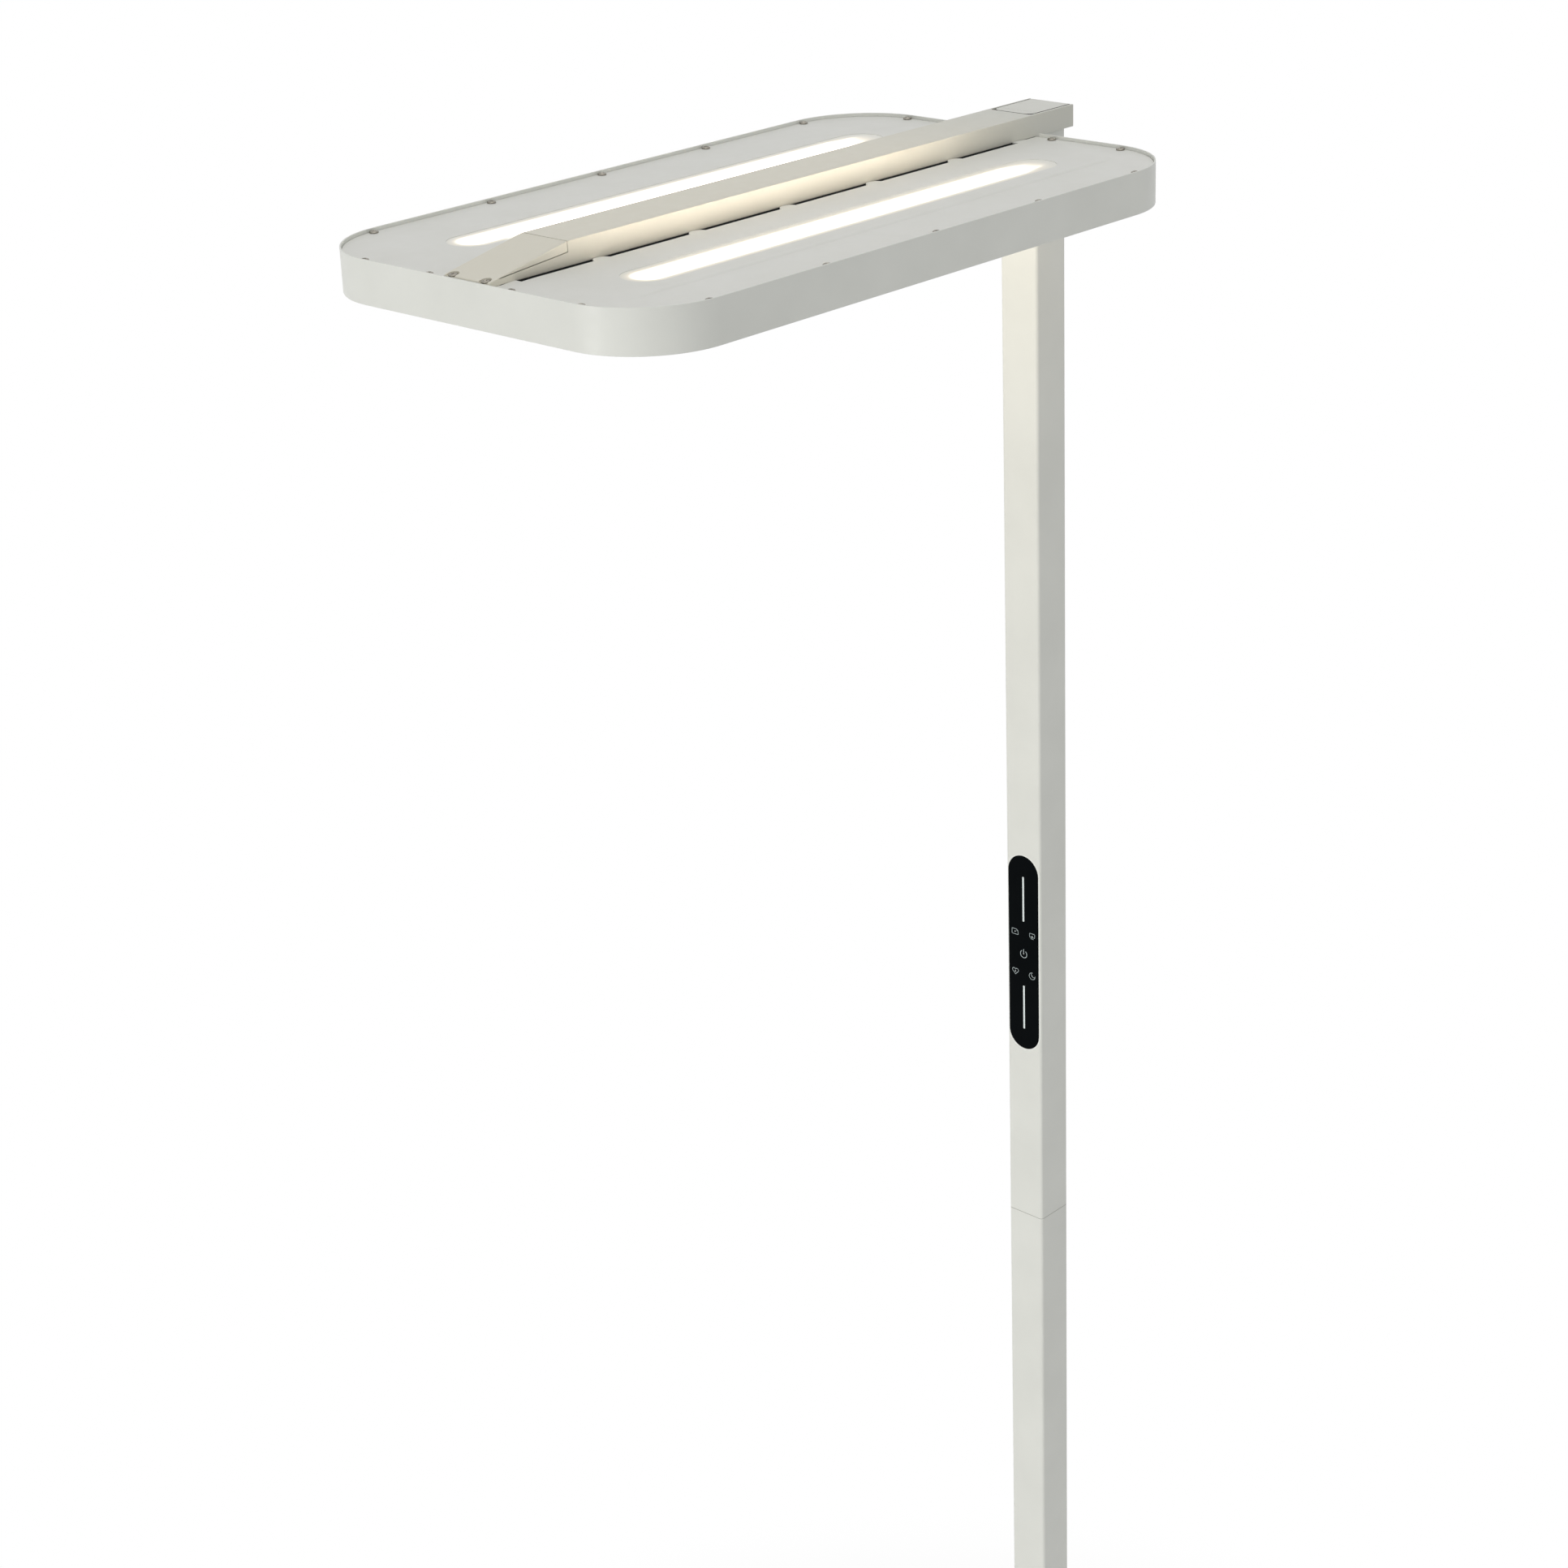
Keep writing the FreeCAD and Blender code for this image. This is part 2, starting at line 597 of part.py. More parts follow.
def mains_inlet():
    """Snap-in inlet for a mains lead, with its bevelled socket."""
    face = HALF_POLE + INLET_FLANGE
    back = HALF_POLE - INLET_DEPTH
    half_w = INLET_W / 2
    half_h = INLET_H / 2
    body = box(-half_w, half_w, back, face, INLET_Z - half_h, INLET_Z + half_h)
    wide = half_w + INLET_FLANGE
    high = half_h + INLET_FLANGE
    flange = box(-wide, wide, HALF_POLE, face, INLET_Z - high, INLET_Z + high)
    flange = flange.makeFillet(1.0, [e for e in flange.Edges if e.BoundBox.YMin > face - 1e-4])
    half_sw = SOCKET_W / 2
    half_sh = SOCKET_H / 2
    ring = [(-half_sw, -half_sh), (half_sw, -half_sh), (half_sw, half_sh - SOCKET_BEVEL),
            (half_sw - SOCKET_BEVEL, half_sh), (-half_sw + SOCKET_BEVEL, half_sh),
            (-half_sw, half_sh - SOCKET_BEVEL)]
    points = [Vector(x, face - SOCKET_DEPTH, INLET_Z + z) for x, z in ring]
    points.append(points[0])
    socket = Part.Face(Part.makePolygon(points)).extrude(Vector(0, SOCKET_DEPTH + 1, 0))
    slots = [pin(x, z, THREAD_GAP) for x, z in pin_places()]
    return cut(fuse([body, flange]), [socket] + slots)


def pin(x, z, gap):
    """One pin with its tag behind the body, or with a gap the slot for it."""
    floor = HALF_POLE + INLET_FLANGE - SOCKET_DEPTH
    back = HALF_POLE - INLET_DEPTH - TAG_L
    half_w = PIN_W / 2 + gap
    half_h = PIN_H / 2 + gap
    return box(x - half_w, x + half_w, back, floor + PIN_L, z - half_h, z + half_h)


def inlet_pins():
    """The three pins."""
    pins = []
    for x, z in pin_places():
        blade = pin(x, z, 0)
        tip = [e for e in blade.Edges if e.BoundBox.YMin > blade.BoundBox.YMax - 1e-4]
        pins.append(blade.makeChamfer(0.5, tip))
    return Part.makeCompound(pins)


# ---- touch panel ----------------------------------------------------------------------------------
def touch_glass():
    """Glass plate, flush in the pole's front face."""
    front = -HALF_POLE
    glass = upright_stadium(TOUCH_W, TOUCH_H, TOUCH_Z, front, front + GLASS_T)
    edges = [e for e in glass.Edges if e.BoundBox.YMax < front + 1e-4]
    return glass.makeChamfer(0.25, edges)


def touch_gasket():
    """Sealing ring behind the glass, round the board."""
    y0 = -HALF_POLE + GLASS_T
    outer = upright_stadium(TOUCH_W, TOUCH_H, TOUCH_Z, y0, y0 + GASKET_T)
    inner_w = TOUCH_W - 2 * GASKET_W
    inner_h = TOUCH_H - 2 * GASKET_W
    return outer.cut(upright_stadium(inner_w, inner_h, TOUCH_Z, y0 - 1, y0 + GASKET_T + 1))


def touch_board_size(gap):
    """Width and height of the board, or of its pocket with a gap."""
    less = 2 * (GASKET_W + SEAM) - 2 * gap
    return TOUCH_W - less, TOUCH_H - less


def touch_board():
    """Sensor board against the back of the glass, with its connector."""
    y0 = -HALF_POLE + GLASS_T
    width, height = touch_board_size(0)
    board = upright_stadium(width, height, TOUCH_Z, y0, y0 + TOUCH_BOARD_T)
    back = y0 + TOUCH_BOARD_T
    plug = box(-5, 5, back, back + 2.5, TOUCH_Z - 3, TOUCH_Z + 3)
    return fuse([board, plug])


def touch_carrier():
    """Plastic carrier inside the tube that holds the board against the glass."""
    y0 = -HALF_POLE + POLE_WALL
    half_w = PLUG_W / 2
    half_h = TOUCH_H / 2 + CARRIER_END
    body = box(-half_w, half_w, y0, y0 + CARRIER_T, TOUCH_Z - half_h, TOUCH_Z + half_h)
    corners = [e for e in body.Edges if e.BoundBox.YMax < y0 + 1e-4 and e.Length > TOUCH_H]
    body = body.makeFillet(POLE_INNER_R + FIT, corners)
    width, height = touch_board_size(SEAM)
    pocket = upright_stadium(width, height, TOUCH_Z, y0 - 1, y0 + CARRIER_T - CARRIER_WALL)
    exit_hole = box(-7, 7, y0, y0 + CARRIER_T + 1, TOUCH_Z - 6, TOUCH_Z + 6)
    return cut(body, [pocket, exit_hole])


# ---- beam -----------------------------------------------------------------------------------------
def cap_top(y):
    """Level of the cap's slope at a place along the beam."""
    rise = OVERALL_H - (RIM_TOP + CAP_TIP_RISE)
    return RIM_TOP + CAP_TIP_RISE + rise * (y - CAP_TIP) / CAP_L


def cap_outline():
    """Side view of the sloped cap: slope, nose and tapering flange."""
    flange_end = cap_top(CAP_NOSE_BACK) - 0.3
    return [(CAP_JOINT, OVERALL_H), (CAP_TIP, cap_top(CAP_TIP)), (CAP_TIP, COVER_TOP),
            (CAP_NOSE_BACK, COVER_TOP), (CAP_NOSE_BACK, flange_end),
            (CAP_JOINT, OVERALL_H - CAP_SIDE_H)]


def beam_screw_places():
    """Where the beam is screwed to the head's spine."""
    return spread(HEAD_REAR - BEAM_SCREW_FIRST, HEAD_FRONT + BEAM_SCREW_LAST, BEAM_SCREW_COUNT)


def lid_outline(gap, z0, z1):
    """The lid's plan, round at its two front corners; with a gap, its opening."""
    half = BEAM_INNER / 2 - SEAM + gap
    front = -LID_BEFORE - gap
    r = LID_CORNER_R + gap
    plan = rounded_plate(-half, half, front, BEAM_REAR + 4 * r, r, z0, z1)
    return plan.common(box(-half, half, front, BEAM_REAR, z0, z1))


def beam():
    """Box extrusion along the head's middle, open at the rear under the lid."""
    outer = box(-HALF_BEAM, HALF_BEAM, CAP_NOSE_BACK, BEAM_REAR, BEAM_BOTTOM, OVERALL_H)
    along = []
    for edge in outer.Edges:
        if edge.BoundBox.YLength > BEAM_W:
            along.append(edge)
    outer = outer.makeFillet(BEAM_EDGE_R, along)
    half = BEAM_INNER / 2
    hollow = box(-half, half, CAP_NOSE_BACK - 1, BEAM_REAR + 1, BEAM_FLOOR, OVERALL_H - BEAM_TOP_T)
    body = outer.cut(hollow)
    rib_top = OVERALL_H - LID_T
    ribs = [box(side * half - BEAM_RIB / 2 - side * BEAM_RIB / 2,
                side * half + BEAM_RIB / 2 - side * BEAM_RIB / 2,
                CAP_JOINT, BEAM_REAR - LID_FLAP_T - SEAM, rib_top - BEAM_RIB, rib_top)
            for side in (-1, 1)]
    body = fuse([body] + ribs)
    lid_hole = lid_outline(SEAM, rib_top, OVERALL_H + 1)
    front = [(CAP_JOINT, OVERALL_H + 1), (CAP_NOSE_BACK - 1, OVERALL_H + 1),
             (CAP_NOSE_BACK - 1, cap_outline()[4][1]), cap_outline()[4], cap_outline()[5]]
    slope = profile(front, -HALF_BEAM - 1, HALF_BEAM + 1)
    bolts = [rod(x, y, BEAM_BOTTOM - 1, HEAD_BOLT_D / 2 + HOLE_GAP, BEAM_BOTTOM_T + 2)
             for x, y in head_bolt_places()]
    lead_hole = rod(0, 0, BEAM_BOTTOM - 1, BLOCK_BORE_R, BEAM_BOTTOM_T + 2)
    threads = [rod(0, y, BEAM_BOTTOM - 1, BEAM_SCREW_D / 2 + THREAD_GAP, BEAM_BOTTOM_T + 2)
               for y in beam_screw_places()]
    return cut(body, [lid_hole, slope, lead_hole, drop_hole()] + bolts + threads)


def drop_hole():
    """Hole through the beam's floor and the spine's top for the leads."""
    return rod(0, DROP_Y, BEAM_BOTTOM - SPINE_T - 1, DROP_R, BEAM_BOTTOM_T + SPINE_T + 2)


def beam_lid():
    """Lid over the bolts, with a flap that closes the beam's rear end."""
    top = lid_outline(0, OVERALL_H - LID_T, OVERALL_H)
    half = BEAM_INNER / 2 - SEAM
    flap = box(-half, half, BEAM_REAR - LID_FLAP_T, BEAM_REAR, BEAM_FLOOR + SEAM, OVERALL_H)
    lid = fuse([top, flap])
    fold = [e for e in level_edges(lid, OVERALL_H, LID_T) if e.BoundBox.YMin > BEAM_REAR - 1e-4]
    return lid.makeFillet(0.5, fold)


def cap_recess(x):
    """Flat seat for one cap screw, open towards the tip."""
    y = CAP_TIP + CAP_SCREW_SET
    seat = RIM_TOP - CAP_SEAT_DROP
    bowl = rod(x, y, seat, CAP_RECESS_R, BEAM_H)
    mouth = box(x - CAP_RECESS_R, x + CAP_RECESS_R, CAP_TIP - 1, y, seat, OVERALL_H)
    hole = rod(x, y, COVER_TOP - 1, COVER_SCREW_D / 2 + HOLE_GAP, BEAM_H)
    return [bowl, mouth, hole]


def beam_front_cap():
    """Sloped cap: a thin shell with a solid nose and two screw seats."""
    body = profile(cap_outline(), -HALF_BEAM, HALF_BEAM)
    long_edges = []
    for edge in body.Edges:
        b = edge.BoundBox
        if b.XLength < 1e-4 and b.YLength > CAP_L - 1:
            long_edges.append(edge)
    body = body.makeFillet(BEAM_EDGE_R, long_edges)
    rise = cap_top(CAP_NOSE_BACK) - CAP_T
    inner = [(CAP_JOINT + 1, OVERALL_H - CAP_T), (CAP_JOINT, OVERALL_H - CAP_T), (CAP_NOSE_BACK, rise),
             (CAP_NOSE_BACK, COVER_TOP - 1), (CAP_JOINT + 1, COVER_TOP - 1)]
    inside = profile(inner, -HALF_BEAM + CAP_T, HALF_BEAM - CAP_T)
    return cut(body, [inside] + cap_recess(-CAP_SCREW_X) + cap_recess(CAP_SCREW_X))


def cap_screws():
    """Two pan-head screws through the nose into the spine."""
    y = CAP_TIP + CAP_SCREW_SET
    seat = RIM_TOP - CAP_SEAT_DROP
    length = seat - COVER_TOP + SPINE_T + 3
    return Part.makeCompound([pan_screw(x, y, seat, COVER_SCREW_D, COVER_SCREW_HEAD_D,
                                        COVER_SCREW_HEAD_H, length)
                              for x in (-CAP_SCREW_X, CAP_SCREW_X)])


# ---- head: rim and structure ------------------------------------------------------------------------
def head_rim():
    """Band round the head with a lip that carries the layers, notched at the rear for the beam."""
    band = head_plate(0, RIM_BOTTOM, RIM_TOP)
    band = band.makeFillet(RIM_EDGE_R, level_edges(band, RIM_BOTTOM) + level_edges(band, RIM_TOP))
    inner = head_plate(RIM_WALL, DIFFUSER_Z, RIM_TOP + 1)
    mouth = head_plate(RIM_LIP, RIM_BOTTOM - 1, DIFFUSER_Z + 1)
    half = HALF_BEAM + NOTCH_GAP
    notch = box(-half, half, HEAD_REAR - RIM_WALL - 1, HEAD_REAR + 1, COVER_TOP, RIM_TOP + 1)
    return cut(band, [inner, mouth, notch])


def cover_screw_places():
    """Axes of the cover screws, all round the head."""
    end = HEAD_R - COVER_SCREW_INTO_R
    x_side = HALF_HEAD - COVER_SCREW_INSET
    places = []
    for y in spread(HEAD_REAR - end, HEAD_FRONT + end, LONG_SIDE_SCREWS):
        places += [(-x_side, y), (x_side, y)]
    by_beam = HALF_BEAM + SHORT_SCREW_BY_BEAM
    for y in (HEAD_REAR - COVER_SCREW_INSET, HEAD_FRONT + COVER_SCREW_INSET):
        for x in (by_beam, HALF_HEAD - end):
            places += [(-x, y), (x, y)]
    return places


def cover_standoffs():
    """Threaded standoffs on the chassis, one under each cover screw."""
    posts = []
    for x, y in cover_screw_places():
        post = rod(x, y, CHASSIS_TOP, STANDOFF_R, COVER_BOTTOM - CHASSIS_TOP)
        bore = rod(x, y, COVER_BOTTOM - COVER_SCREW_L, COVER_SCREW_D / 2 + THREAD_GAP, COVER_SCREW_L)
        posts.append(post.cut(bore))
    return Part.makeCompound(posts)


def cover_screws():
    """Pan-head screws round the edge of the covers."""
    return Part.makeCompound([pan_screw(x, y, COVER_TOP, COVER_SCREW_D, COVER_SCREW_HEAD_D,
                                        COVER_SCREW_HEAD_H, COVER_SCREW_L)
                              for x, y in cover_screw_places()])


def bracket_places():
    """Middles (side, y) of the clips that tie the chassis to the rim."""
    end = HEAD_R - COVER_SCREW_INTO_R
    rows = spread(HEAD_REAR - end, HEAD_FRONT + end, LONG_SIDE_SCREWS)
    return [(side, (a + b) / 2) for side in (-1, 1) for a, b in zip(rows, rows[1:])]


def bracket_stud_x():
    """Distance of the clip studs from the lamp's middle."""
    return HALF_HEAD - RIM_WALL - BRACKET_LEG / 2 - 1


def rim_brackets():
    """Angle clips on the rim's inner face that stand on the chassis."""
    clips = []
    wall = HALF_HEAD - RIM_WALL
    for side, y in bracket_places():
        y0 = y - BRACKET_L / 2
        y1 = y + BRACKET_L / 2
        leg = box(wall - BRACKET_T, wall, y0, y1, CHASSIS_TOP, CHASSIS_TOP + BRACKET_H)
        foot = box(wall - BRACKET_LEG, wall, y0, y1, CHASSIS_TOP, CHASSIS_TOP + BRACKET_T)
        hole = rod(bracket_stud_x(), y, CHASSIS_TOP - 1, STUD_D / 2 + HOLE_GAP, BRACKET_T + 2)
        clip = fuse([leg, foot]).cut(hole)
        clips.append(clip if side > 0 else mirrored(clip))
    return Part.makeCompound(clips)


def spine_stud_places():
    """Studs under the spine's two feet."""
    x = SPINE_HALF_W - SPINE_FOOT / 2 - 0.5
    rows = spread(HEAD_REAR - SPINE_STUD_END, HEAD_FRONT + SPINE_STUD_END, SPINE_STUDS)
    return [(side * x, y) for side in (-1, 1) for y in rows]


def stud_places():
    """All the studs, each with the thickness of what it clamps."""
    clips = [(side * bracket_stud_x(), y, BRACKET_T) for side, y in bracket_places()]
    return clips + [(x, y, SPINE_T) for x, y in spine_stud_places()]


def chassis_plate():
    """Sheet that closes the optical layers and carries what lies above them."""
    plate = head_plate(RIM_WALL + STACK_GAP, CHASSIS_Z, CHASSIS_TOP)
    holes = [rod(x, y, CHASSIS_Z - 1, STUD_D / 2 + THREAD_GAP, CHASSIS_T + 2)
             for x, y, _ in stud_places()]
    screws = [rod(x, y, CHASSIS_Z - 1, DRIVER_SCREW_D / 2 + THREAD_GAP, CHASSIS_T + 2)
              for x, y in driver_screw_places()]
    return cut(plate, holes + screws)


def chassis_studs():
    """Press-in studs, flush with the chassis below."""
    return Part.makeCompound([rod(x, y, CHASSIS_Z, STUD_D / 2, CHASSIS_T + STUD_L)
                              for x, y, _ in stud_places()])


def chassis_nuts():
    """Hexagon nuts on the studs."""
    nuts = []
    for x, y, clamped in stud_places():
        blank = hex_socket(Vector(x, y, CHASSIS_TOP + clamped), Vector(0, 0, 1), NUT_AF, NUT_H)
        nuts.append(blank.cut(rod(x, y, CHASSIS_TOP, STUD_D / 2 + THREAD_GAP, BEAM_H)))
    return Part.makeCompound(nuts)


def head_spine():
    """Channel between the chassis and the beam, with inward feet and lead windows."""
    rear = HEAD_REAR - RIM_WALL - SPINE_END
    front = HEAD_FRONT + RIM_WALL + SPINE_END
    body = box(-SPINE_HALF_W, SPINE_HALF_W, front, rear, CHASSIS_TOP, COVER_TOP)
    half = SPINE_HALF_W - SPINE_T
    hollow = box(-half, half, front - 1, rear + 1, CHASSIS_TOP + SPINE_T, COVER_TOP - SPINE_T)
    gap = half + SPINE_T - SPINE_FOOT
    slit = box(-gap, gap, front - 1, rear + 1, CHASSIS_TOP - 1, COVER_TOP - SPINE_T)
    window = box(-HALF_BEAM, HALF_BEAM, DROP_Y - SPINE_WINDOW / 2, DROP_Y + SPINE_WINDOW / 2,
                 CHASSIS_TOP + 2 * SPINE_T, COVER_TOP - 2 * SPINE_T)
    studs = [rod(x, y, CHASSIS_TOP - 1, STUD_D / 2 + HOLE_GAP, SPINE_T + 2)
             for x, y in spine_stud_places()]
    screws = [rod(0, y, COVER_TOP - SPINE_T - 1, BEAM_SCREW_D / 2 + HOLE_GAP, SPINE_T + 2)
              for y in beam_screw_places()]
    cap_threads = [rod(x, CAP_TIP + CAP_SCREW_SET, COVER_TOP - SPINE_T - 1,
                       COVER_SCREW_D / 2 + THREAD_GAP, SPINE_T + 2)
                   for x in (-CAP_SCREW_X, CAP_SCREW_X)]
    return cut(body, [hollow, slit, window, drop_hole()] + studs + screws + cap_threads)


def beam_screws():
    """Screws from inside the spine up into the beam's floor."""
    screws = []
    seat = COVER_TOP - SPINE_T
    for y in beam_screw_places():
        head = rod(0, y, seat - BEAM_SCREW_D * 0.6, BEAM_SCREW_D * 0.95, BEAM_SCREW_D * 0.6)
        shank = rod(0, y, seat, BEAM_SCREW_D / 2, SPINE_T + BEAM_BOTTOM_T + 2)
        socket = hex_socket(Vector(0, y, seat - BEAM_SCREW_D * 0.6), Vector(0, 0, 1),
                            BEAM_SCREW_D * 0.6, BEAM_SCREW_D * 0.4)
        screws.append(fuse([head, shank]).cut(socket))
    return Part.makeCompound(screws)


# ---- head: covers and uplight -----------------------------------------------------------------------
def panel_wire(share, z):
    """Outline of the pressed panel, from the foot of its slope, 0, to the top, 1."""
    half = HALF_HEAD - PANEL_SIDE - share * PANEL_SLOPE
    end = PANEL_END + share * PANEL_END_SLOPE
    radius = PANEL_R - share * PANEL_SLOPE
    return rounded_wire(-half, half, HEAD_FRONT + end, HEAD_REAR - end, radius, z)


def pressed(inset, drop):
    """Everything under the covers' upper face, or under that face lowered by a drop."""
    under = head_plate(inset, CHASSIS_TOP, COVER_TOP - drop)
    panel = Part.makeLoft([panel_wire(0, COVER_TOP - drop), panel_wire(1, PANEL_TOP - drop)],
                          True, True)
    return fuse([under, panel])


def cover(side):
    """Top cover of one half: pressed panel, light slot, vent gap with half-round tabs, screw holes."""
    low = COVER_BOTTOM - 1
    high = PANEL_TOP + 1
    inner = HALF_BEAM + SEAM
    half = pressed(RIM_WALL + COVER_GAP, 0).cut(pressed(0, COVER_T))
    half = half.common(box(inner, HALF_HEAD, HEAD_FRONT, HEAD_REAR, low, high))
    vent = box(inner - 1, inner + VENT_W, HEAD_FRONT + VENT_FRONT, HEAD_REAR - VENT_REAR, low, high)
    vent = vent.cut([rod(inner + TAB_TIP + TAB_R, y, low, TAB_R, high - low) for y in tab_places()])
    slot = stadium(SLOT_X, HEAD_MID, SLOT_W, SLOT_L, low, high)
    holes = [rod(x, y, low, COVER_SCREW_D / 2 + HOLE_GAP, high - low)
             for x, y in cover_screw_places() if x > 0]
    half = cut(half, [vent, slot] + holes)
    return half if side > 0 else mirrored(half)


def tab_places():
    """Middles of the tabs, evenly along the vent gap."""
    rear = HEAD_REAR - VENT_REAR - TAB_END
    front = HEAD_FRONT + VENT_FRONT + TAB_END
    step = (rear - front) / (TAB_COUNT - 1)
    return [rear - step * i for i in range(TAB_COUNT)]


def uplight_lens(side):
    """Opal lens: a plateau in the slot and a flange under the cover."""
    flange = stadium(SLOT_X, HEAD_MID, SLOT_W + 2 * LENS_FLANGE, SLOT_L + 2 * LENS_FLANGE,
                     LENS_Z, PANEL_BOTTOM)
    top = PANEL_TOP - LENS_DROP
    plateau = stadium(SLOT_X, HEAD_MID, SLOT_W - 2 * SEAM, SLOT_L - 2 * SEAM, LENS_Z, top)
    lens = fuse([flange, plateau])
    return lens if side > 0 else mirrored(lens)


def trough_wires(inset):
    """Foot and mouth of the reflector trough."""
    mouth = 2 * TROUGH_TOP - 2 * inset
    foot = stadium_wire(SLOT_X, HEAD_MID, TROUGH_FOOT_W - 2 * inset,
                        SLOT_L - SLOT_W + TROUGH_FOOT_W - 2 * inset, CHASSIS_TOP)
    return [foot, stadium_wire(SLOT_X, HEAD_MID, SLOT_W + mouth, SLOT_L + mouth, LENS_Z)]


def uplight_reflector(side):
    """White trough from the LED board up to the lens."""
    outer = Part.makeLoft(trough_wires(0), True, True)
    inner = Part.makeLoft(trough_wires(TROUGH_T), True, True)
    trough = outer.cut(inner)
    return trough if side > 0 else mirrored(trough)


def uplight_board(side):
    """LED board on the chassis, inside the trough."""
    width = TROUGH_FOOT_W - 2 * (TROUGH_T + BOARD_GAP)
    length = SLOT_L - SLOT_W + width
    board = stadium(SLOT_X, HEAD_MID, width, length, CHASSIS_TOP, CHASSIS_TOP + BOARD_T)
    return board if side > 0 else mirrored(board)


def uplight_leds(side):
    """LEDs of one uplight board, in two rows."""
    z = CHASSIS_TOP + BOARD_T
    end = SLOT_L / 2 - SLOT_W / 2
    chips = []
    for row in (-LED_W, LED_W):
        for y in spread(HEAD_MID - end, HEAD_MID + end, UP_LED_COUNT):
            x = side * SLOT_X + 1.5 * row
            chips.append(box(x - LED_W / 2, x + LED_W / 2, y - LED_W / 2, y + LED_W / 2, z, z + LED_T))
    return Part.makeCompound(chips)


# ---- head: downlight --------------------------------------------------------------------------------
def bottom_diffuser():
    """Plate that fills the head's underside and rests on the rim's lip."""
    return head_plate(RIM_WALL + STACK_GAP, DIFFUSER_Z, GUIDE_Z)


def light_guide():
    """Clear plate that spreads the light of the two LED strips."""
    return head_plate(GUIDE_SET, GUIDE_Z, FOIL_Z)


def reflector_foil():
    """White foil on top of the guide."""
    return head_plate(GUIDE_SET, FOIL_Z, CHASSIS_Z)


def strip_band(side, x_in, thickness, y_half, z0, z1):
    """A flat block beside the guide's long edge, counted outwards from that edge."""
    a = GUIDE_HALF_W + x_in
    b = a + thickness
    block = box(a, b, HEAD_MID - y_half, HEAD_MID + y_half, z0, z1)
    return block if side > 0 else mirrored(block)


def guide_frame():
    """Frame that centres the guide and holds the LED strips in two pockets."""
    ring = head_plate(RIM_WALL + STACK_GAP, GUIDE_Z, CHASSIS_Z)
    inner = head_plate(GUIDE_SET - LED_GAP, GUIDE_Z - 1, CHASSIS_Z + 1)
    deep = LED_GAP + EDGE_LED_T + STRIP_T
    pockets = [strip_band(side, -1, deep + 1, STRIP_L / 2 + FIT, GUIDE_Z - 1, CHASSIS_Z + 1)
               for side in (-1, 1)]
    return cut(ring, [inner] + pockets)


def edge_board(side):
    """LED strip on edge, at the outer side of its pocket."""
    return strip_band(side, LED_GAP + EDGE_LED_T, STRIP_T, STRIP_L / 2, GUIDE_Z, CHASSIS_Z)


def edge_leds(side):
    """LEDs that shine into the guide's long edge."""
    z_mid = GUIDE_Z + GUIDE_T / 2
    half = EDGE_LED_W / 2
    end = STRIP_L / 2 - EDGE_LED_W * 2
    x_in = side * (GUIDE_HALF_W + LED_GAP)
    x_out = side * (GUIDE_HALF_W + LED_GAP + EDGE_LED_T)
    low = min(x_in, x_out)
    high = max(x_in, x_out)
    return Part.makeCompound([box(low, high, y - half, y + half, z_mid - half * 0.8, z_mid + half * 0.8)
                              for y in spread(HEAD_MID - end, HEAD_MID + end, EDGE_LED_COUNT)])


# ---- head: drivers, terminals and leads ---------------------------------------------------------------
def driver_ends():
    """Rear and front ends of a driver's case."""
    rear = HEAD_REAR - DRIVER_REAR
    return rear, rear - DRIVER_L


def driver_screw_places():
    """Screws in the drivers' end tabs."""
    rear, front = driver_ends()
    ys = (rear + DRIVER_TAB / 2, front - DRIVER_TAB / 2)
    return [(side * DRIVER_X, y) for side in (-1, 1) for y in ys]


def led_driver(side):
    """Flat LED driver with a tab at each end."""
    rear, front = driver_ends()
    half = DRIVER_W / 2
    x = side * DRIVER_X
    case = box(x - half, x + half, front, rear, CHASSIS_TOP, CHASSIS_TOP + DRIVER_H)
    along = [e for e in level_edges(case, CHASSIS_TOP + DRIVER_H) if e.Length > DRIVER_W + 1]
    case = case.makeFillet(2.0, along)
    tabs = box(x - half, x + half, front - DRIVER_TAB, rear + DRIVER_TAB, CHASSIS_TOP,
               CHASSIS_TOP + CHASSIS_T)
    holes = [rod(px, py, CHASSIS_TOP - 1, DRIVER_SCREW_D / 2 + HOLE_GAP, CHASSIS_T + 2)
             for px, py in driver_screw_places()]
    return cut(fuse([case, tabs]), holes)


def driver_screws():
    """Four short screws that hold both drivers on the chassis."""
    return Part.makeCompound([pan_screw(x, y, CHASSIS_TOP + CHASSIS_T, DRIVER_SCREW_D,
                                        DRIVER_SCREW_D * 1.9, DRIVER_SCREW_D * 0.6, 2 * CHASSIS_T)
                              for x, y in driver_screw_places()])


def terminal_block():
    """Three-pole terminal block for the mains, on the chassis beside the spine."""
    x0 = HALF_BEAM + DRIVER_BY_BEAM
    y1 = HEAD_REAR - TERMINAL_REAR
    y0 = y1 - TERMINAL_L
    block = box(x0, x0 + TERMINAL_W, y0, y1, CHASSIS_TOP, CHASSIS_TOP + TERMINAL_H)
    wells = []
    for y in spread(y0 + TERMINAL_L / 6, y1 - TERMINAL_L / 6, 3):
        for x in (x0 + TERMINAL_W * 0.3, x0 + TERMINAL_W * 0.7):
            wells.append(rod(x, y, CHASSIS_TOP + TERMINAL_H * 0.5, TERMINAL_L / 12, TERMINAL_H))
    return cut(block, wells)


def lead_levels(diameter):
    """Level of a lead in the beam and, below it, in the head."""
    return BEAM_FLOOR + diameter / 2 + 0.3, CHASSIS_TOP + SPINE_T + diameter / 2 + 2.5


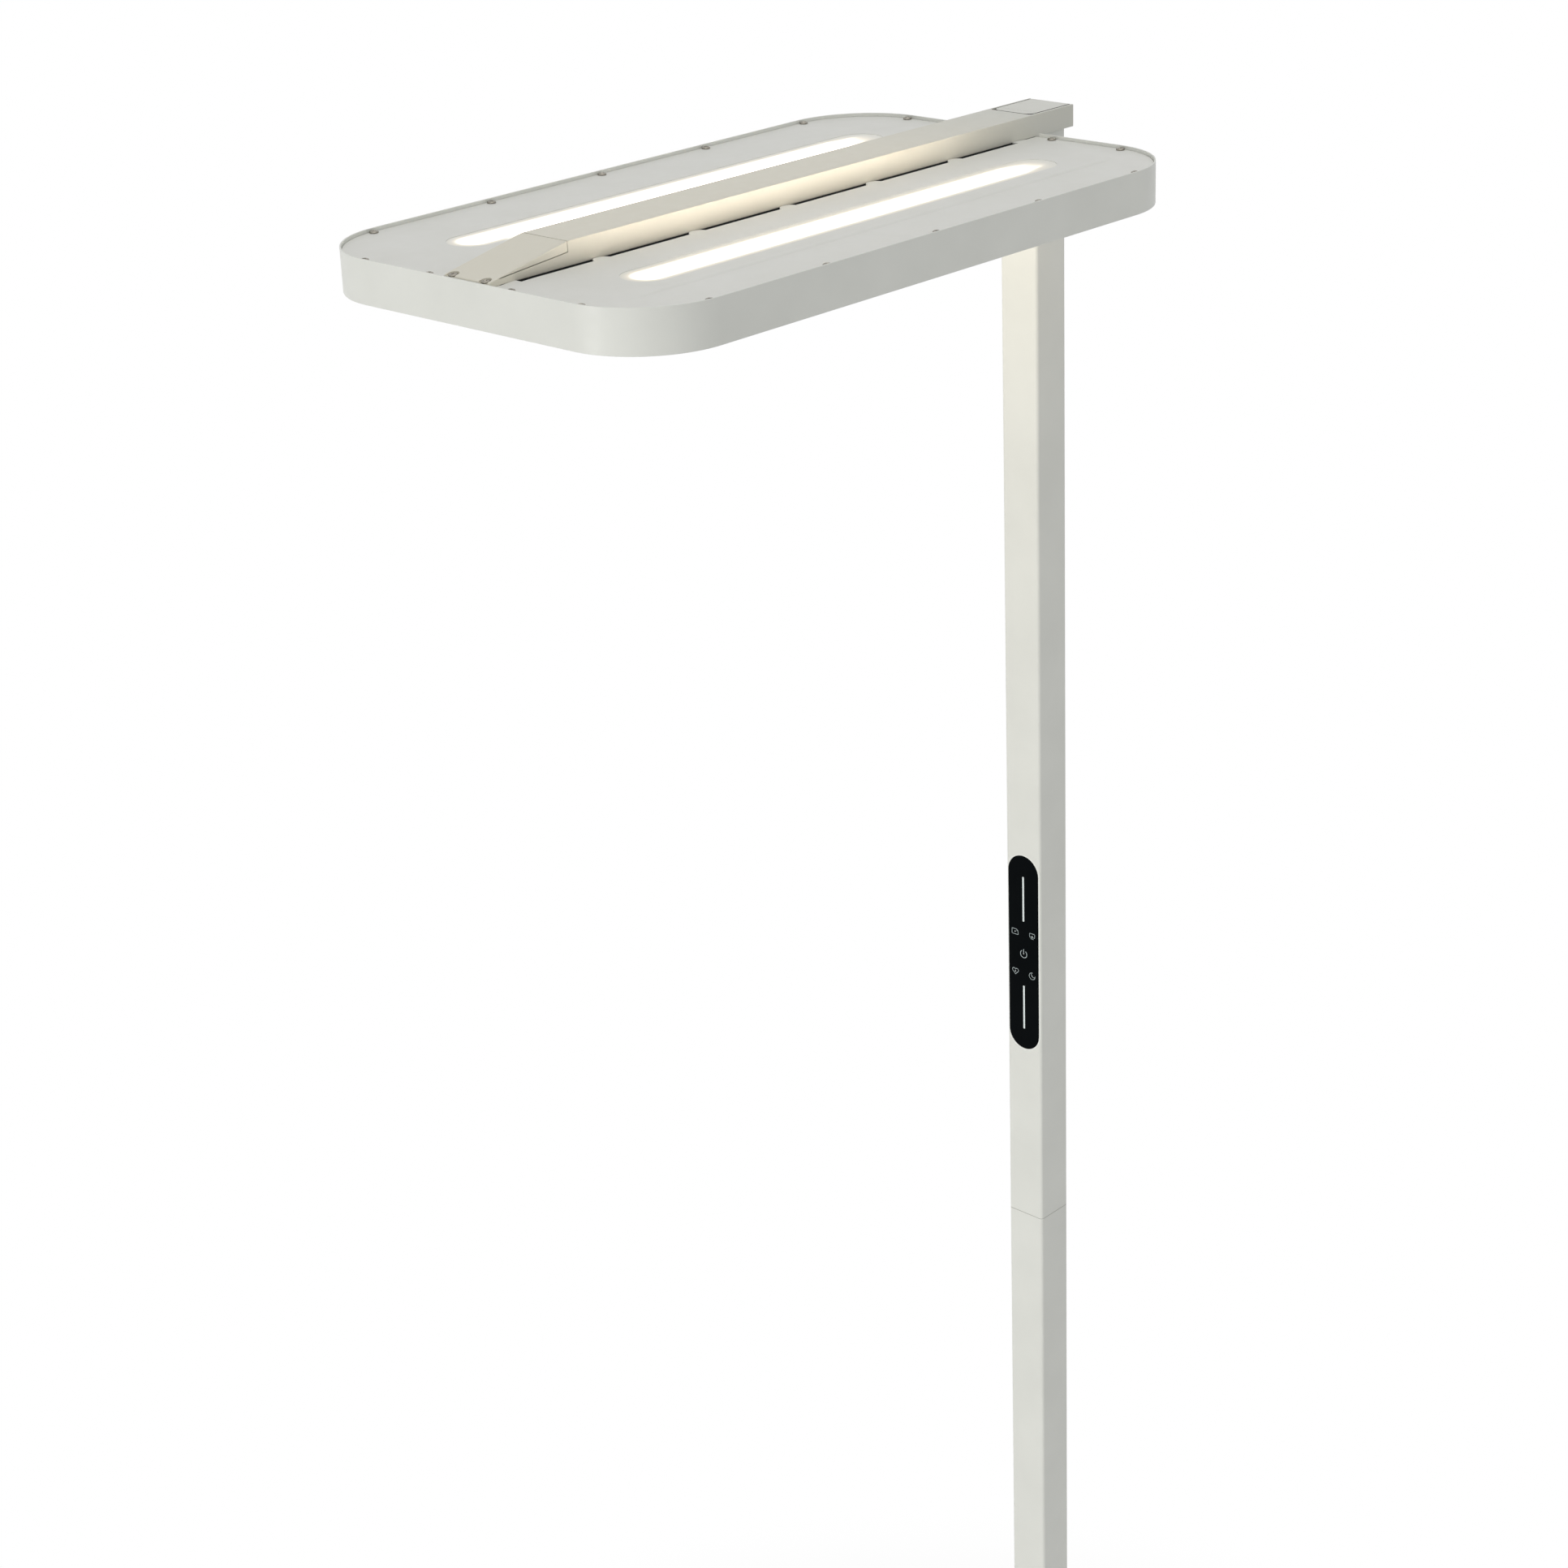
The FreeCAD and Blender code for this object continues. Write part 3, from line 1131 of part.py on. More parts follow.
def mains_lead():
    """Lead from the inlet up the pole, along the beam and down to the terminals."""
    high, low = lead_levels(MAINS_D)
    x = MAINS_X
    y = HALF_POLE - INLET_DEPTH - TAG_L + MAINS_D / 2
    top_of_tag = INLET_Z + EARTH_RISE + PIN_H / 2 + SEAM
    route = [(x, y, top_of_tag), (x, y, INLET_Z + 60), (x, LEAD_Y, INLET_Z + 160), (x, LEAD_Y, high),
             (x, DROP_Y, high), (x, DROP_Y, low), (HALF_BEAM + DRIVER_BY_BEAM, DROP_Y, low)]
    return lead(route, LEAD_BEND, MAINS_D)


def control_lead():
    """Thin lead from the touch board to the left driver."""
    high, low = lead_levels(CONTROL_D)
    x = CONTROL_X
    start_y = -HALF_POLE + GLASS_T + TOUCH_BOARD_T + 2.5
    rear, _ = driver_ends()
    route = [(x, start_y, TOUCH_Z), (x, LEAD_Y, TOUCH_Z), (x, LEAD_Y, high), (x, DROP_Y, high),
             (x, DROP_Y, low), (-DRIVER_X, DROP_Y, low), (-DRIVER_X, rear, low)]
    return lead(route, LEAD_BEND, CONTROL_D)


# ---- write every sub-part -----------------------------------------------------------------------------
def all_parts():
    """Every node's name and shape."""
    parts = {
        "base_pad": base_pad(), "base_plate": base_plate(), "base_bolts": base_bolts(),
        "pole_foot": pole_foot(), "foot_screws": rear_screws(foot_levels()),
        "pole_lower": pole_lower(), "pole_joint": pole_joint(),
        "joint_screws": rear_screws(joint_levels()), "pole_upper": pole_upper(),
        "head_block": head_block(), "block_screws": rear_screws(block_levels()),
        "head_bolts": head_bolts(), "mains_inlet": mains_inlet(), "inlet_pins": inlet_pins(),
        "touch_glass": touch_glass(), "touch_gasket": touch_gasket(), "touch_board": touch_board(),
        "touch_carrier": touch_carrier(), "beam": beam(), "beam_lid": beam_lid(),
        "beam_front_cap": beam_front_cap(), "cap_screws": cap_screws(), "head_rim": head_rim(),
        "rim_brackets": rim_brackets(), "chassis_plate": chassis_plate(),
        "chassis_studs": chassis_studs(), "chassis_nuts": chassis_nuts(),
        "head_spine": head_spine(), "beam_screws": beam_screws(),
        "cover_standoffs": cover_standoffs(), "cover_screws": cover_screws(),
        "bottom_diffuser": bottom_diffuser(), "light_guide": light_guide(),
        "reflector_foil": reflector_foil(), "guide_frame": guide_frame(),
        "driver_screws": driver_screws(), "terminal_block": terminal_block(),
        "mains_lead": mains_lead(), "control_lead": control_lead(),
    }
    for name, side in SIDES.items():
        parts["cover_" + name] = cover(side)
        parts["uplight_lens_" + name] = uplight_lens(side)
        parts["uplight_reflector_" + name] = uplight_reflector(side)
        parts["uplight_board_" + name] = uplight_board(side)
        parts["uplight_leds_" + name] = uplight_leds(side)
        parts["edge_board_" + name] = edge_board(side)
        parts["edge_leds_" + name] = edge_leds(side)
        parts["led_driver_" + name] = led_driver(side)
    return parts


def main():
    """Write one STEP file for each node."""
    os.makedirs("parts", exist_ok=True)
    for name, shape in all_parts().items():
        print(name, len(shape.Solids), round(shape.Volume), shape.isValid())
        shape.exportStep("parts/" + name + ".step")


main()
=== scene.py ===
"""Looks of an office floor lamp: powder-coated head, beam and pole, lit opal strips, touch panel."""
import math

import bmesh
import bpy
from mathutils import Matrix, Vector
from mathutils.geometry import tessellate_polygon


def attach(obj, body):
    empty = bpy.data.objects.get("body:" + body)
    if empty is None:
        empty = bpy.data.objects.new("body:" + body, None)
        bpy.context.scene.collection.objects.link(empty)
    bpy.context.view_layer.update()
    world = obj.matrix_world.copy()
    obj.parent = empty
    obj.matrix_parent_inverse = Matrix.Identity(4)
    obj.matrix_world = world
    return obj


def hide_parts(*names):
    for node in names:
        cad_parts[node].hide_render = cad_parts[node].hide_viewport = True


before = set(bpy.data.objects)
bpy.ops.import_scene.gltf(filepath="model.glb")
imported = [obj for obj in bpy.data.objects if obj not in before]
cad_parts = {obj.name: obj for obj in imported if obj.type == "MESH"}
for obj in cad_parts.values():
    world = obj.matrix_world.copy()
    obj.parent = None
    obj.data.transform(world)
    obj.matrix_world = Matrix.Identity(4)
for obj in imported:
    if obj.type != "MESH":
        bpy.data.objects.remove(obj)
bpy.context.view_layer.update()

MM = 0.001
BODY = "root"

# ---- sizes and places of the lamp, in millimetres -------------------------------------------------
PAST = 1.0                  # cutters reach this far past the faces that they cut
SEAM = 0.3                  # gap per side of a lid, cover or glass in its opening

# Head
HALF_HEAD = 176.9
HEAD_L = 600.0
HEAD_REAR = -22.45
HEAD_FRONT = HEAD_REAR - HEAD_L
HEAD_MID = HEAD_REAR - HEAD_L / 2
HEAD_R = 70.0
CORNER_STEPS = 28           # per quarter turn of the head's corners
RIM_TOP = 1984.8
RIM_LOW = 1951.2
RIM_WALL = 1.2
RIM_LIP = 8.0
RIM_EDGE = 0.4              # rounding of the rim's edges
NOTCH_GAP = 3.2             # rear notch past each side of the beam

# Beam, with its lid and its sloped cap
TOP = 2000.0                # top of the beam
BEAM_LOW = 1982.0           # underside of the beam, and top of the covers' screw border
HALF_BEAM = 23.1
BEAM_WALL = 3.3
BEAM_TOP_T = 2.0
BEAM_FLOOR_T = 3.0
BEAM_REAR = 24.55
BEAM_EDGE = 0.6
LID_HALF = 19.5
LID_FRONT = -26.9
LID_R = 7.0
LID_T = 2.0
LID_FLAP_T = 1.6
LID_FOLD_R = 0.5            # fold between the lid and its flap
LID_EDGE = 0.1
LID_SPLIT = LID_FRONT + 9   # the lid is straight behind here
LID_DARK_Z = TOP - 0.11     # the lid's edge is dark below here
LID_DARK_Y = BEAM_REAR - 2  # and in front of here, so not on the flap
LID_GAP = 1.4               # open joint round the lid
OPENING_R = 3.0             # the lid's opening has tighter corners, so that they show dark
CAP_TIP = -619.95
CAP_NOSE = -610.45          # the cap is solid from its tip to here
CAP_JOINT = -544.45
CAP_TIP_RISE = 0.6          # top of the tip above the rim
CAP_FLANGE = 7.6            # height of the cap's sides at the joint
CAP_FLANGE_NOSE = 0.3       # the same behind the nose
CAP_HOLLOW_END = CAP_JOINT + 2  # rear end of the cutter for the cap's hollow
CAP_T = 1.5
CAP_JOINT_T = 1.2
CAP_GAP = 0.6               # open joint round the cap
CAP_ROUND = 1.6             # rounding of the cap's tip
CAP_SEAT = 1984.5
CAP_SEAT_R = 4.4
CAP_SCREW_X = 16.6
CAP_SCREW_Y = -616.95

# Covers, with their light slots and the vent gap beside the beam
COVER_T = 1.0
COVER_GAP = 0.4             # to the rim
COVER_HOLE_R = 2.0
PANEL_TOP = 1983.0          # top of the pressed panels
PANEL_HALF = 128.0          # foot of the panel's slope from the middle plane
PANEL_END = 14.0            # the same from the head's ends
PANEL_R = 32.5
PANEL_SLOPE = 4.0           # width of the slope along the panel's side
PANEL_END_SLOPE = 26.0      # the same at its ends
SLOT_X = 89.5
SLOT_W = 39.0
SLOT_L = 460.0
LENS_TOP = 1982.8
LENS_LOW = 1980.8
LENS_FLANGE = 3.0
LENS_GAP = 0.06             # to the slot's edge
VENT_EDGE = 29.9            # panel's cut edge beside the beam, from the middle plane
VENT_FRONT = -595.95
VENT_REAR = -54.45
TAB_COUNT = 5
TAB_R = 8.0
TAB_TIP = 23.6              # tabs' tips, from the middle plane
TAB_END = 77.5              # first and last tab from the vent's ends
SCREW_R = 3.45
SCREW_H = 1.7
SCREW_INSET = 5.0           # screws' axes from the rim's outer face
SCREW_END = 66.0            # outer screws of each side from the head's corners
SCREW_BY_BEAM = 18.9        # inner screws of the short sides from the beam's side
SIDE_SCREWS = 5             # on each long side

# Pole and touch panel
HALF_POLE = 19.25
POLE_R = 3.0
POLE_WALL = 2.0
POLE_SEAM = 973.0           # level where the two tubes meet
POLE_END_SOFT = 0.25        # broken edges of the tubes' ends
POLE_SINK_R = 4.75          # countersinks of the screws in the rear face
POLE_HOLE_R = 2.75
POLE_SCREW_NEAR = 22.0      # screws from the ends of the tubes
POLE_SCREW_FAR = 54.0
INLET_Z = 125.0
INLET_HALF_W = 13.7         # opening for the mains inlet
INLET_HALF_H = 10.2
TOUCH_Z = 1241.8
TOUCH_W = 33.6
TOUCH_H = 191.6
GLASS_T = 1.5
GLASS_EDGE = 0.25
WINDOW_EDGE = 0.15
PAINTED_HIGHLIGHT_BAND = 1.1              # width of the painted highlight: a paler band round the panel's window
SLIDE_W = 1.9
SLIDES = ((31.6, 75.8), (-75.9, -32.3))  # ends of the two slide lines, from the panel's middle
DOT_R = 0.55                # lit dot in each symbol, drawn with a painted light colour
MARK_RISE = 0.03            # printed marks above the glass
MARK_LINE = 0.42
POWER_LINE = 0.6

# Base
BASE_LOW = 2.0              # the plate lies on its pad
BASE_TOP = 10.0
BASE_HALF_W = 170.0
BASE_FRONT = -440.0
BASE_REAR = 60.0
BASE_R = 60.0
BASE_TOP_EDGE = 1.5
BASE_LOW_EDGE = 0.6


# ---- finishes -----------------------------------------------------------------------------------
NOISE_LOW = 0.3             # most of a noise lies between these two values
NOISE_HIGH = 0.7


def srgb(code):
    """An sRGB hex colour in linear values."""
    parts = [int(code[i:i + 2], 16) / 255 for i in (1, 3, 5)]
    return [c / 12.92 if c <= 0.04045 else ((c + 0.055) / 1.055) ** 2.4 for c in parts] + [1.0]


def add(tree, kind, settings=None, links=None):
    """Adds a node with its settings, and links what comes in."""
    node = tree.nodes.new("ShaderNode" + kind)
    for name, value in (settings or {}).items():
        if isinstance(name, int) or name in node.inputs:
            node.inputs[name].default_value = value
        else:
            setattr(node, name, value)
    for name, source in (links or {}).items():
        tree.links.new(source, node.inputs[name])
    return node


def finish(name, **shader):
    """A new material with its shader's plain values; returns it with its node tree and shader."""
    material = bpy.data.materials.new(name)
    material.use_nodes = True
    tree = material.node_tree
    surface = tree.nodes["Principled BSDF"]
    for key, value in shader.items():
        surface.inputs[key.replace("_", " ")].default_value = value
    return material, tree, surface


def grain(tree, surface, size_mm, height_mm, detail=2.0, stretch=(1, 1, 1)):
    """A fine relief with the given spacing and height."""
    place = add(tree, "TexCoord")
    spread = add(tree, "Mapping", {"Scale": stretch}, {"Vector": place.outputs["Object"]})
    noise = add(tree, "TexNoise", {"Scale": 1 / (size_mm * MM), "Detail": detail},
                {"Vector": spread.outputs[0]})
    bump = add(tree, "Bump", {"Distance": height_mm * MM, "Strength": 1.0},
               {"Height": noise.outputs["Fac"]})
    tree.links.new(bump.outputs[0], surface.inputs["Normal"])


def mottle(tree, surface, socket, low, high, size_mm, stretch=(1, 1, 1)):
    """A slow variation of a colour or value between two ends."""
    place = add(tree, "TexCoord")
    spread = add(tree, "Mapping", {"Scale": stretch}, {"Vector": place.outputs["Object"]})
    noise = add(tree, "TexNoise", {"Scale": 1 / (size_mm * MM), "Detail": 3.0},
                {"Vector": spread.outputs[0]})
    if isinstance(low, str):
        ramp = add(tree, "ValToRGB", {}, {"Fac": noise.outputs["Fac"]})
        ramp.color_ramp.elements[0].position = NOISE_LOW
        ramp.color_ramp.elements[1].position = NOISE_HIGH
        ramp.color_ramp.elements[0].color = srgb(low)
        ramp.color_ramp.elements[1].color = srgb(high)
        tree.links.new(ramp.outputs["Color"], surface.inputs[socket])
    else:
        span = add(tree, "MapRange", {"From Min": NOISE_LOW, "From Max": NOISE_HIGH, "To Min": low,
                                      "To Max": high}, {"Value": noise.outputs["Fac"]})
        tree.links.new(span.outputs["Result"], surface.inputs[socket])


def powder_coat(name, low, high, rough):
    """Satin powder coat on metal: an even, slightly warm grey with a fine orange peel.
    The real peel is about 0.5 mm; it is drawn at 1.4 mm so that it shows."""
    material, tree, surface = finish(name, IOR=1.5, Roughness=rough)
    mottle(tree, surface, "Base Color", low, high, 60.0)
    mottle(tree, surface, "Roughness", rough - 0.04, rough + 0.04, 9.0)
    grain(tree, surface, 1.4, 0.012)
    return material


def bare_metal(name, colour, rough, stretch=(1, 1, 1)):
    """Plain metal: grey reflections, broken a little by handling and tool marks."""
    material, tree, surface = finish(name, Metallic=1.0, Base_Color=srgb(colour))
    mottle(tree, surface, "Roughness", rough - 0.06, rough + 0.08, 2.0, stretch)
    grain(tree, surface, 0.8, 0.01, stretch=stretch)
    return material


def plastic(name, low, high, rough, grain_mm=0.7, height_mm=0.015):
    """Moulded or laminated plastic, with a fine spark-eroded grain."""
    material, tree, surface = finish(name, IOR=1.49, Roughness=rough)
    mottle(tree, surface, "Base Color", low, high, 12.0)
    grain(tree, surface, grain_mm, height_mm)
    return material


def off_line(tree, axes, across, middle, along, start, end):
    """Distance from a line between two places along one axis, seen along the third axis; in metres."""
    near = add(tree, "Clamp", {"Min": start * MM, "Max": end * MM}, {"Value": axes.outputs[along]})
    past = add(tree, "Math", {"operation": "SUBTRACT"}, {0: axes.outputs[along], 1: near.outputs[0]})
    side = add(tree, "Math", {"operation": "SUBTRACT", 1: middle * MM}, {0: axes.outputs[across]})
    both = add(tree, "CombineXYZ", {}, {"X": side.outputs[0], "Y": past.outputs[0]})
    return add(tree, "VectorMath", {"operation": "LENGTH"}, {0: both.outputs[0]}).outputs["Value"]


def beam_coat_with_painted_strip_light(name, front, rear, rough):
    """Powder coat of the beam with painted light: painted cream where the strips' light falls, and painted
    greyer, as shade, towards the pole.
    """
    material = powder_coat(name, front, front, rough)
    tree = material.node_tree
    place = add(tree, "TexCoord")
    axes = add(tree, "SeparateXYZ", {}, {"Vector": place.outputs["Object"]})
    share = add(tree, "MapRange", {"From Min": PAINTED_STRIP_LIGHT_UNTIL * MM, "From Max": PAINTED_SHADE_FROM * MM},
                {"Value": axes.outputs["Y"]})
    # painted light: the colour runs from the strips' cream light to grey shade towards the pole
    ramp = add(tree, "ValToRGB", {}, {"Fac": share.outputs["Result"]})
    ramp.color_ramp.elements[0].color = srgb(front)
    ramp.color_ramp.elements[1].color = srgb(rear)
    tree.links.new(ramp.outputs["Color"], tree.nodes["Principled BSDF"].inputs["Base Color"])
    return material


def coat_with_painted_window_highlight(name, low, high, edge, rough):
    """Powder coat with a painted highlight: a paler band round the touch panel's window."""
    material = powder_coat(name, low, high, rough)
    tree = material.node_tree
    colour = tree.nodes["Principled BSDF"].inputs["Base Color"]
    place = add(tree, "TexCoord")
    axes = add(tree, "SeparateXYZ", {}, {"Vector": place.outputs["Object"]})
    reach = (TOUCH_H - TOUCH_W) / 2
    away = off_line(tree, axes, "X", 0.0, "Z", TOUCH_Z - reach, TOUCH_Z + reach)
    close = add(tree, "Math", {"operation": "LESS_THAN", 1: (TOUCH_W / 2 + SEAM + PAINTED_HIGHLIGHT_BAND) * MM},
                {0: away})
    front = add(tree, "Math", {"operation": "LESS_THAN", 1: 0.0}, {0: axes.outputs["Y"]})
    share = add(tree, "Math", {"operation": "MULTIPLY"}, {0: close.outputs[0], 1: front.outputs[0]})
    # painted highlight: the paler colour is mixed in on the band round the window, on the front face only
    blend = add(tree, "Mix", {"data_type": "RGBA", 7: srgb(edge)},
                {0: share.outputs[0], 6: colour.links[0].from_socket})
    tree.links.new(blend.outputs[2], colour)
    return material


def opal_strip(name, side):
    """Lit opal acrylic over an LED row: clipped white, with a cream fall-off inside the slot's edge.
    The row ends before the slot does, so the rear end fades over a longer way than the front."""
    material, tree, surface = finish(name, IOR=1.49, Roughness=0.3)
    surface.inputs["Base Color"].default_value = srgb("#E6E5DC")
    place = add(tree, "TexCoord")
    axes = add(tree, "SeparateXYZ", {}, {"Vector": place.outputs["Object"]})
    reach = (SLOT_L - SLOT_W) / 2
    away = off_line(tree, axes, "X", side * SLOT_X + STRIP_SHIFT, "Y", HEAD_MID - reach,
                    HEAD_MID + reach)
    rim = add(tree, "MapRange", {"From Min": STRIP_DARK * MM, "From Max": STRIP_FULL * MM},
              {"Value": away})
    rear = add(tree, "MapRange", {"From Min": (HEAD_MID + STRIP_REAR_DARK) * MM,
                                  "From Max": (HEAD_MID + STRIP_REAR_FULL) * MM},
               {"Value": axes.outputs["Y"]})
    share = add(tree, "Math", {"operation": "MULTIPLY"},
                {0: rim.outputs["Result"], 1: rear.outputs["Result"]})
    glow = add(tree, "Math", {"operation": "POWER", 1: STRIP_FALL}, {0: share.outputs[0]})
    soft = add(tree, "Math", {"operation": "MULTIPLY", 1: STRIP_SOFT}, {0: share.outputs[0]})
    power = add(tree, "Math", {"operation": "MULTIPLY_ADD", 1: STRIP_GLOW},
                {0: glow.outputs[0], 2: soft.outputs[0]})
    tint = add(tree, "ValToRGB", {}, {"Fac": share.outputs[0]})
    tint.color_ramp.elements[0].color = srgb("#FFE3B4")
    tint.color_ramp.elements[1].color = srgb("#FFF1E3")
    tree.links.new(tint.outputs["Color"], surface.inputs["Emission Color"])
    tree.links.new(power.outputs[0], surface.inputs["Emission Strength"])
    grain(tree, surface, 0.6, 0.01)
    return material


def lit_plate(name):
    """Micro-prismatic diffuser, lit from the light guide above it: near white.
    Its real prisms are about 0.1 mm apart; they are drawn 1.5 mm apart."""
    material, tree, surface = finish(name, IOR=1.49, Roughness=0.35, Emission_Strength=PLATE_GLOW)
    place = add(tree, "TexCoord")
    cells = add(tree, "TexVoronoi", {"Scale": 1 / (PRISM * MM)}, {"Vector": place.outputs["Object"]})
    tint = add(tree, "ValToRGB", {}, {"Fac": cells.outputs["Distance"]})
    tint.color_ramp.elements[0].color = srgb("#FFF5E4")
    tint.color_ramp.elements[1].color = srgb("#F6EAD6")
    tree.links.new(tint.outputs["Color"], surface.inputs["Emission Color"])
    tree.links.new(tint.outputs["Color"], surface.inputs["Base Color"])
    bump = add(tree, "Bump", {"Distance": 0.05 * MM}, {"Height": cells.outputs["Distance"]})
    tree.links.new(bump.outputs[0], surface.inputs["Normal"])
    return material


def touch_glass_finish(name):
    """Black-printed cover glass: near black, a blue-green cast and a clear polish."""
    material, tree, surface = finish(name, IOR=1.52, Roughness=0.04, Specular_IOR_Level=0.02)
    mottle(tree, surface, "Base Color", "#030608", "#06090B", 30.0)
    mottle(tree, surface, "Roughness", 0.03, 0.09, 14.0)
    return material


PAINTED_STRIP_LIGHT_UNTIL = -190.0        # painted strip light: the beam's colour is cream in front of here, in millimetres along Y
PAINTED_SHADE_FROM = -30.0           # and painted grey shade behind here
STRIP_GLOW = 23.0           # strength of the lit strips' middle
STRIP_SOFT = 0.36           # strength of the soft light round it
STRIP_FALL = 6.0            # how steeply the middle falls off
STRIP_SHIFT = 1.0           # lit line to the right of the slot's middle, in millimetres
STRIP_DARK = 19.8           # distance from the lit line where the light ends
STRIP_FULL = 6.8            # and where it is full
STRIP_REAR_DARK = 227.0     # the same from the head's middle, towards the rear
STRIP_REAR_FULL = 186.0
PLATE_GLOW = 0.85
PRISM = 1.5                 # spacing of the diffuser's prisms as drawn, in millimetres

PAINT = powder_coat("powder_coat_warm_grey", "#DEDFD9", "#E3E4DE", 0.42)
# beam and cap: powder coat with the strips' light and the shade near the pole painted into its colour
PAINT_BEAM_WITH_PAINTED_LIGHT = beam_coat_with_painted_strip_light("powder_coat_on_extrusion_with_painted_strip_light", "#DDD9CA", "#CDCDC4", 0.42)
PAINT_SHEET = powder_coat("powder_coat_on_sheet", "#DFDFD9", "#E3E3DE", 0.46)
LID_SHADE = plastic("lid_edge_in_shadow", "#1F1A16", "#28221D", 0.6)
SEAM_SHADE = plastic("pole_seam_in_shadow", "#A5A59E", "#ABABA4", 0.6)
PAINT_LID = powder_coat("powder_coat_on_lid", "#D5D5CD", "#D9D9D2", 0.42)
# upper pole: powder coat with a painted highlight round the touch panel's window
PAINT_POLE_WITH_PAINTED_HIGHLIGHT = coat_with_painted_window_highlight("powder_coat_with_painted_window_highlight", "#DEDFD9", "#E3E4DE", "#EDEEE9", 0.42)
NICKEL = bare_metal("nickel_plated_screw", "#8F8B82", 0.30)
STEEL = bare_metal("zinc_plated_steel", "#C6C8C9", 0.34)
# painted shade: the spine, seen only through the vent gap, is drawn near black for the shade inside the head
SPINE_PAINTED_SHADE = powder_coat("spine_in_painted_shade", "#1B1C1D", "#222324", 0.5)
ALUMINIUM = bare_metal("rolled_aluminium", "#D9DADB", 0.32, (1, 12, 1))
BRASS = bare_metal("nickel_plated_brass", "#CDC7B4", 0.22)
GLASS = touch_glass_finish("black_cover_glass")
PRINT = plastic("ceramic_print_on_glass", "#AFBCBD", "#BAC6C7", 0.35)
# painted light: the lit slide lines and dots are drawn as a brighter colour, not as a glow
LIT_MARKS_PAINTED = plastic("lit_marks_in_painted_light", "#DDE6E6", "#E6EDED", 0.35)
OPAL_LEFT = opal_strip("lit_opal_acrylic_left", -1)
OPAL_RIGHT = opal_strip("lit_opal_acrylic_right", 1)
DIFFUSER = lit_plate("lit_prismatic_diffuser")
RUBBER = plastic("moulded_rubber", "#26282A", "#2F3133", 0.78, 1.2, 0.05)
ABS = plastic("black_moulded_abs", "#17191B", "#1F2123", 0.5)
WHITE_PC = plastic("white_moulded_polycarbonate", "#E6E7E4", "#EEEFEC", 0.38)
FOIL = plastic("white_reflector_film", "#F0F1EF", "#F6F6F5", 0.28)
ACRYLIC = plastic("clear_acrylic_guide", "#E3EAEA", "#EBF0F0", 0.08)
FOAM = plastic("closed_cell_foam", "#3A3C3E", "#46484A", 0.9, 0.9, 0.12)
BOARD = plastic("white_solder_mask", "#E4E8E2", "#ECEFEA", 0.36)
SENSOR = plastic("black_solder_mask", "#101813", "#18221B", 0.34)
PHOSPHOR = plastic("led_phosphor", "#E8C760", "#F2D67C", 0.45)
SHEATH = plastic("lead_sheath_pvc", "#8E9296", "#9A9EA2", 0.42)

CAD_FINISHES = {
    "base_bolts": STEEL, "pole_foot": STEEL, "foot_screws": STEEL, "pole_joint": ALUMINIUM,
    "joint_screws": STEEL, "head_block": ALUMINIUM, "block_screws": STEEL, "head_bolts": STEEL,
    "inlet_pins": BRASS, "touch_gasket": FOAM, "touch_board": SENSOR, "touch_carrier": ABS,
    "rim_brackets": ALUMINIUM, "chassis_plate": ALUMINIUM, "chassis_studs": STEEL,
    "chassis_nuts": STEEL, "head_spine": SPINE_PAINTED_SHADE, "beam_screws": STEEL, "cover_standoffs": ALUMINIUM,
    "bottom_diffuser": DIFFUSER, "light_guide": ACRYLIC, "reflector_foil": FOIL,
    "guide_frame": WHITE_PC, "driver_screws": STEEL, "terminal_block": WHITE_PC,
    "mains_lead": SHEATH, "control_lead": SHEATH, "mains_inlet": ABS, "base_pad": RUBBER,
}
for side_name in ("left", "right"):
    CAD_FINISHES["uplight_reflector_" + side_name] = FOIL
    CAD_FINISHES["uplight_board_" + side_name] = BOARD
    CAD_FINISHES["uplight_leds_" + side_name] = PHOSPHOR
    CAD_FINISHES["edge_board_" + side_name] = BOARD
    CAD_FINISHES["edge_leds_" + side_name] = PHOSPHOR
    CAD_FINISHES["led_driver_" + side_name] = WHITE_PC
for node_name, material in CAD_FINISHES.items():
    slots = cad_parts[node_name].material_slots
    for index in range(len(slots)):
        slots[index].material = material


# ---- outlines and meshes --------------------------------------------------------------------------
SHARP_FROM = 32             # edges that turn by more degrees than this are sharp
FLAT_WITHIN = 0.05          # faces that turn by fewer degrees than this become one


def arc(cx, cy, radius, start, end, steps):
    """Points on an arc, in degrees, both ends included."""
    turns = [math.radians(start + (end - start) * i / steps) for i in range(steps + 1)]
    return [(cx + radius * math.cos(t), cy + radius * math.sin(t)) for t in turns]


def round_box(half_x, y0, y1, radius, steps):
    """A rectangle with round corners, counter-clockwise."""
    right = half_x - radius
    return (arc(right, y0 + radius, radius, -90, 0, steps)
            + arc(right, y1 - radius, radius, 0, 90, steps)
            + arc(-right, y1 - radius, radius, 90, 180, steps)
            + arc(-right, y0 + radius, radius, 180, 270, steps))


def head_outline(inset):
    """The head's plan, a distance inside its outer face."""
    return round_box(HALF_HEAD - inset, HEAD_FRONT + inset, HEAD_REAR - inset, HEAD_R - inset,
                     CORNER_STEPS)


def slot_outline(cx, cy, width, length, steps=24):
    """A slot along the second axis, counter-clockwise."""
    radius = width / 2
    reach = length / 2 - radius
    return (arc(cx, cy - reach, radius, -180, 0, steps) + arc(cx, cy + reach, radius, 0, 180, steps))


def circle(cx, cy, radius, steps=24):
    """A circle, counter-clockwise."""
    return arc(cx, cy, radius, 0, 360 - 360 / steps, steps - 1)


